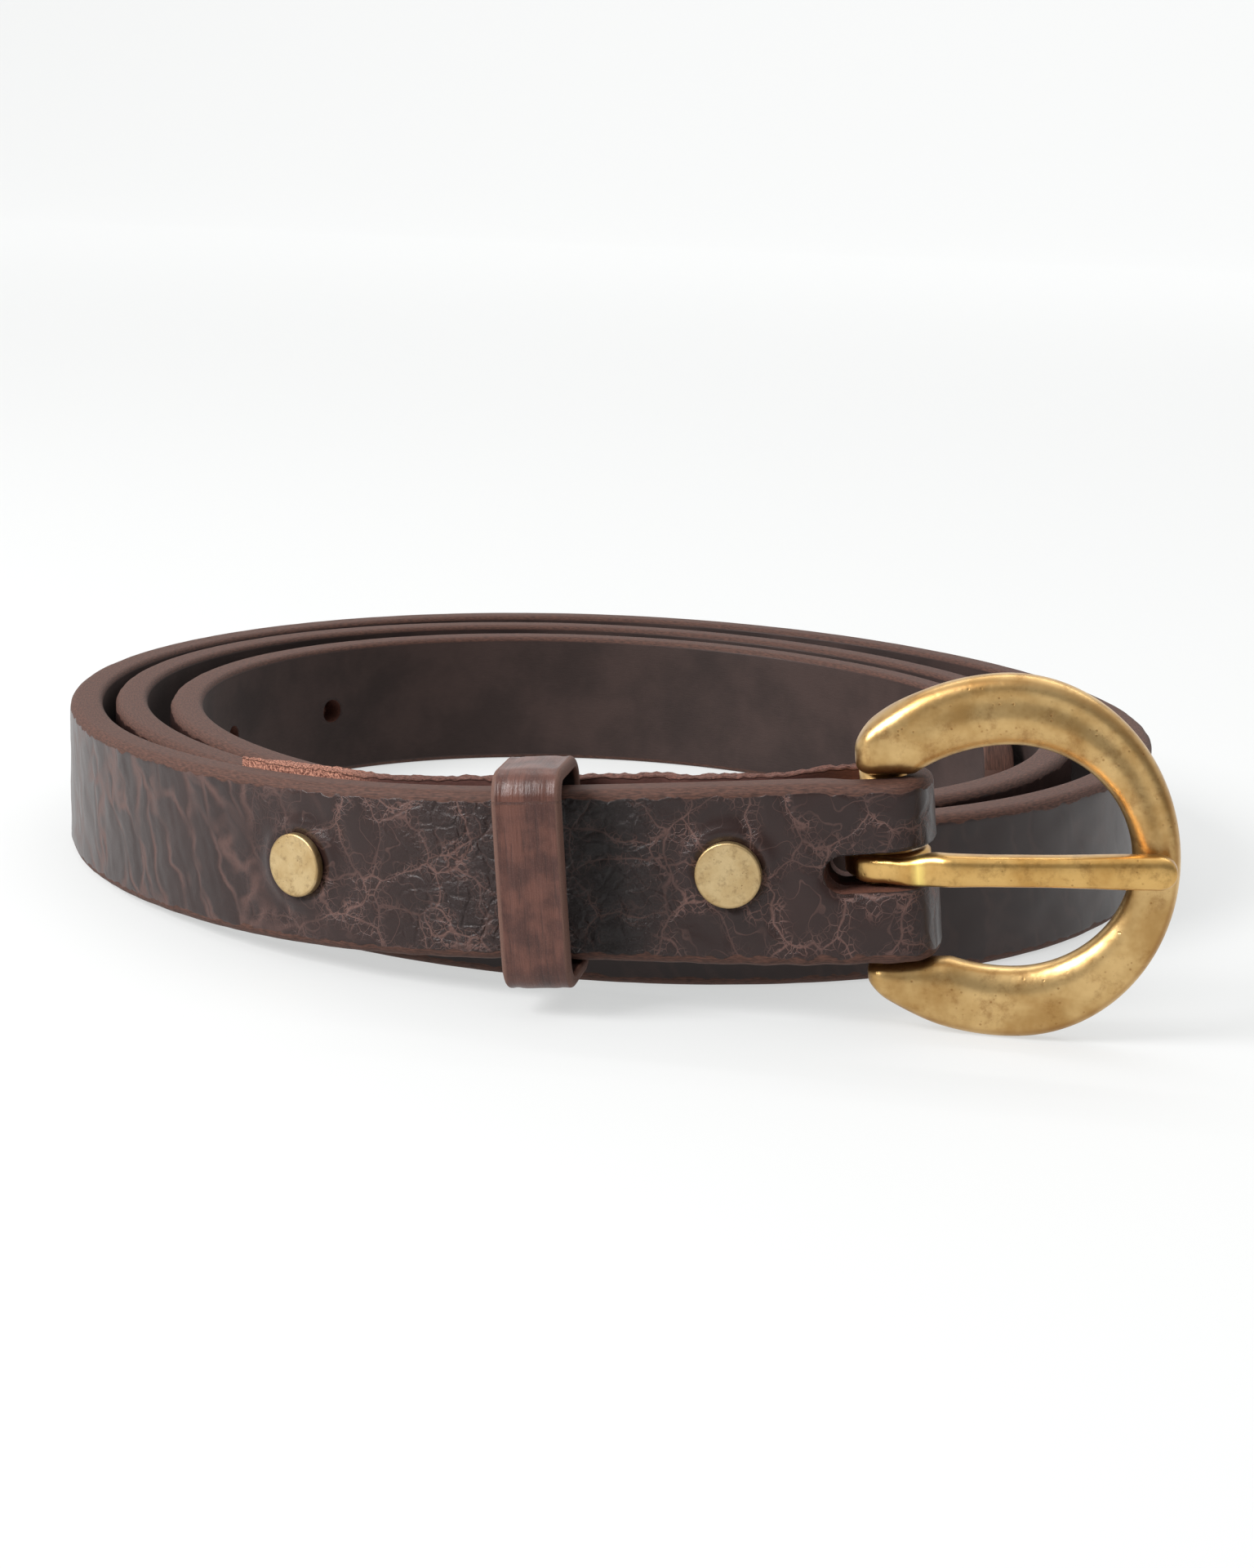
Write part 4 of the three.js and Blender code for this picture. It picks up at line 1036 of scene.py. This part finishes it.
def tongue_rings():
    end = FRAME_REACH - TONGUE_SHORTFALL
    half = TONGUE_THICKNESS / 2
    start = eye_inner + TONGUE_EYE_WALL / 2
    resting = FRAME_FORWARD + FRAME_DEPTH / 2 + CLEARANCE + half
    a = np.radians(np.arange(0, 360, 12) + 6)
    rings, polish = [], []
    last = np.linspace(0.06, math.pi / 2, 16)
    stretch = np.concatenate([np.linspace(TONGUE_TAIL, end - TONGUE_NOSE_LENGTH, 70),
                              end - TONGUE_NOSE_LENGTH * (1 - np.sin(last))])
    for u in stretch:
        bend = float(smooth(-1.5, TONGUE_BEND, u))
        v = start - 0.3 + (resting - start + 0.3) * bend
        root = TONGUE_EYE_WALL / TONGUE_THICKNESS
        thick = half * (root + (1 - root) * bend)
        rooted = 1 - float(smooth(1.2, 6.2, u))
        wide = TONGUE_WIDTH / 2 * (1.0 - ROOT_NARROWER * rooted
                                   - WAIST_NARROWER * float(smooth(3, 12, u))
                                   + NOSE_BROADER * float(smooth(17, 27, u)))
        left = (end - u) / TONGUE_NOSE_LENGTH
        tail = rounded_end(0.55, (u + 3.3) / 1.4)
        v = v + ROOT_FORWARD * rooted - 0.8 * (1 - float(smooth(TONGUE_TAIL, -0.8, u)))
        rings.append(from_bar(
            np.full(len(a), u),
            v + rounded_end(0.35, left) * tail * thick * squared(np.sin(a)),
            rounded_end(0.05, left) * tail * wide * squared(np.cos(a))
            - TONGUE_DROOP * max(u, 0) / end - rooted * SLOT_DROP))
        polish.append(math.exp(-((u - POLISHED_PLACE) / POLISHED_WIDTH) ** 2))
    return np.array(rings), np.array(polish)[:, None] * (np.sin(a) > -0.2)


tongue_brass = brass_material("tongue_brass", colour(214, 174, 108), colour(188, 144, 80),
                              colour(120, 82, 42), 0.22, 0.34)
rings, polish = tongue_rings()
tongue = skin("buckle_tongue", rings, {"rim": np.zeros((rings.shape[0], 1)), "polish": polish})
tongue.data.materials.append(tongue_brass)
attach(tongue, "prong")
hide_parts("tongue")
print("tongue:", rings.shape[0], "sections")

# %% [markdown]
# The eye is a short tube round the bar with its outer corners taken off. A lathe could turn it, but
# a tube has no ends to close, so its rings stand across the wall and go round until they meet.

# %% The tongue's eye
EYE_HALF, EYE_DOWN, CORNER = 1.3, SLOT_DROP * 0.8, 0.4
eye_profile = [(eye_inner, -EYE_HALF), (eye_outer - CORNER, -EYE_HALF), (eye_outer, CORNER - EYE_HALF),
               (eye_outer, EYE_HALF - CORNER), (eye_outer - CORNER, EYE_HALF), (eye_inner, EYE_HALF)]
a = np.linspace(0, 2 * math.pi, ROUND_STEPS, endpoint=False)
eye_rings = np.array([from_bar(r * np.cos(a), r * np.sin(a), np.full(len(a), h - EYE_DOWN))
                      for r, h in eye_profile])
tongue_eye = skin("tongue_eye", eye_rings.transpose(1, 0, 2), {"rim": np.zeros((len(a), 1))},
                  closed=True)
tongue_eye.data.materials.append(tongue_brass)
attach(tongue_eye, "prong")
print("eye:", eye_rings.shape[1], "sections round the bar")

# %% [markdown]
# ## The rivets
# Each rivet is two caps, one on each side, held by a stem through the leather. The caps are stamped
# from sheet, so they are flat discs with a softly rolled rim, and a lathe profile is the natural
# way to make them. They sit a hair into the swollen leather around them.

# %% Rivets
RIVET_CAP_THICKNESS, CAP_ROLL, CAP_BEVEL, CAP_SEAT = 0.9, 0.26, 0.15, 0.06


def cap_profile(low, high):
    """A cap from its underside, low, to its flat face, high, with a rolled rim."""
    side = 1 if high > low else -1
    points = [(0, low), (RIVET_CAP_RADIUS - CAP_BEVEL, low),
              (RIVET_CAP_RADIUS, low + side * CAP_BEVEL)]
    for a in np.radians(np.linspace(0, 90, 7)):
        points.append((RIVET_CAP_RADIUS - CAP_ROLL * (1 - math.cos(a)),
                       high - side * CAP_ROLL * (1 - math.sin(a)) * 0.8))
    flat = RIVET_CAP_RADIUS - CAP_ROLL - 0.06
    for radius, crown in ((flat, 0), (flat - 0.1, 0.004), (RIVET_CAP_RADIUS / 2, 0.02), (0, 0.025)):
        points.append((radius, high + side * crown))
    return points


for number, s in enumerate((FIRST_RIVET, SECOND_RIVET), 1):
    middle, along, out, up = (v[0] for v in strap_frame(s))
    front_seat = STRAP_THICKNESS / 2 + CAP_SEAT
    back_seat = -(STRAP_THICKNESS / 2 + LAYER_PINCH + TURN_BACK_THICKNESS + CAP_SEAT)
    thick = RIVET_CAP_THICKNESS + CLEARANCE - 0.1
    for side, low, high, node in (("front", front_seat, front_seat + thick, "cap"),
                                  ("back", back_seat, back_seat - thick, "post")):
        profile = cap_profile(low, high)
        rims = [0] * 4 + [0.6] * 5 + [0.2] + [0] * (len(profile) - 10)
        cap = turned_piece(f"rivet_{number}_{side}", profile, middle + SHIFT, out, up, 64, rims)
        cap.data.materials.append(rivet_brass)
        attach(cap, "belt")
        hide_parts(f"rivet_{number}_{node}")
print("rivets set")

# %% [markdown]
# ## The keeper
# The keeper is a band of thinner, smoother leather bent into a loop. It could be a bevelled curve,
# but the leather bulges a little between its corners and its cut edges are rounded, so it is made
# from rings like the strap: a small rounded section that travels round a rounded rectangle.

# %% Keeper mesh
KEEPER_EDGE_ROOM, KEEPER_RISE, KEEPER_CORNER, KEEPER_BULGE = 1.25, 0.6, 3.1, 0.28


def loop_path(steps=220):
    """The middle line of the band in depth and height, its outward direction, and the distance."""
    t = KEEPER_THICKNESS
    low = -STRAP_THICKNESS / 2 - CLEARANCE - t / 2
    high = STRAP_THICKNESS * 1.5 + CLEARANCE + t / 2
    half = STRAP_WIDTH / 2 + KEEPER_EDGE_ROOM + t / 2
    r = KEEPER_CORNER - t / 2
    corners = [(high - r, half - r, 0), (low + r, half - r, 90),
               (low + r, r - half, 180), (high - r, r - half, 270)]
    points = []
    for x, y, start in corners:
        for a in np.radians(np.linspace(start, start + 90, 24)):
            points.append((x + r * math.cos(a), y + r * math.sin(a)))
    points = np.array(points + points[:1])
    run = np.concatenate([[0], np.cumsum(np.hypot(*np.diff(points, axis=0).T))])
    d = np.linspace(0, run[-1], steps, endpoint=False)
    line = np.stack([np.interp(d, run, points[:, i]) for i in (0, 1)], 1)
    in_front = line[:, 0] > high - 0.1
    line[:, 0] += KEEPER_BULGE * np.clip(1 - (line[:, 1] / half) ** 2, 0, 1) * in_front
    ahead = np.roll(line, -1, 0) - np.roll(line, 1, 0)
    ahead /= np.linalg.norm(ahead, axis=1)[:, None]
    return line, np.stack([ahead[:, 1], -ahead[:, 0]], 1), d


def keeper_rings():
    line, outward, d = loop_path()
    middle, along, out, up = (v[0] for v in strap_frame(KEEPER_PLACE))
    depth, height, girth, rim, inside = leather_section(KEEPER_WIDTH / 2, KEEPER_THICKNESS,
                                                        0.66, 0.4, 18, 6)
    rings = []
    for (x, y), (nx, ny), here in zip(line, outward, d):
        swell = 0.05 * rough(here / 3.0, height / 2.0, 4.4) * (rim < 0)
        off = KEEPER_THICKNESS / 2 - depth + swell - 0.10 * np.exp(-((rim + 0.6) / 0.5) ** 2)
        x_here = x + nx * off
        y_here = y + ny * off
        rings.append(middle + SHIFT + out * x_here[:, None] + up * (y_here + KEEPER_RISE)[:, None]
                     - along * height[:, None])
    shape = (len(d), len(depth))
    return np.array(rings), {"along": np.broadcast_to(d[:, None], shape), "girth": girth[None, :],
                             "rim": rim[None, :], "inside": inside[None, :]}


rings, measures = keeper_rings()
keeper = skin("keeper_band", rings, measures, closed=True)
print("keeper:", rings.shape[0], "sections")

# %% [markdown]
# The keeper's leather is smoother and redder than the strap's. Bending has drawn fine creases along
# the band, and its cut edge is worn pale. The creases run with the band, so the noise is stretched
# that way before it becomes bump and colour.

# %% Keeper leather
keeper_leather = bpy.data.materials.new("keeper_leather")
n = Nodes(keeper_leather)
flat_place = n.add("ShaderNodeCombineXYZ", {0: n.measure("along"), 1: n.measure("girth")}).outputs[0]
rim_a, inside_a = n.measure("rim"), n.measure("inside")
crease = n.noise(n.stretch(flat_place, (0.10, 1.5, 1.0)), 1.6, 4.0, 0.6)
fine = n.noise(flat_place, 6.0, 4.0, 0.65)
blotch = n.noise(flat_place, 0.35, 3.0)
tint = n.mix(n.ramp(blotch, 0.35, 0.65), colour(66, 39, 33), colour(92, 57, 47))
# Painted shade: the hollows of the creases, where the bump is lowest, are darkened in the colour.
tint = n.mix(n.math("MULTIPLY", n.ramp(crease, 0.46, 0.34), 0.5), tint, colour(44, 27, 24))
tint = n.mix(n.math("MULTIPLY", n.ramp(fine, 0.5, 0.7), 0.30), tint, colour(118, 82, 70))
on_edge = n.math("MULTIPLY", n.ramp(rim_a, 0.0, 0.25), n.ramp(inside_a, 0.2, -0.1))
tint = n.mix(on_edge, tint, n.mix(fine, colour(70, 46, 38), colour(112, 80, 68)))
# The inside of the loop is made nearly black: the flesh side's own dark brown, with the shade inside
# the loop painted in.
tint = n.mix(n.ramp(inside_a, 0.0, 0.3), tint, colour(30, 20, 18))
height = n.math("MULTIPLY_ADD", fine, 0.03, n.math("MULTIPLY", crease, 0.12))
bump = n.add("ShaderNodeBump", {"Strength": 0.9, "Distance": MM, "Height": height})
shade = n.add("ShaderNodeBsdfPrincipled", {
    "Base Color": tint, "Roughness": n.blend(on_edge, n.blend(fine, 0.28, 0.40), 0.7), "Normal": bump,
    "Specular IOR Level": 0.4})
n.add("ShaderNodeOutputMaterial", {"Surface": shade})
keeper.data.materials.append(keeper_leather)
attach(keeper, "keeper")
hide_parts("keeper_loop")

# %% [markdown]
# ## Measuring the result
# The boxes round the plain belt and round the dressed belt are both printed. The dressed
# belt has to stay the size of the plain one.

# %% Sizes before and after
box_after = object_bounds()
for name, (low, high) in (("plain", box_before), ("dressed", box_after)):
    print(name, [round((h - l) * 1000, 2) for l, h in zip(low, high)], "mm")
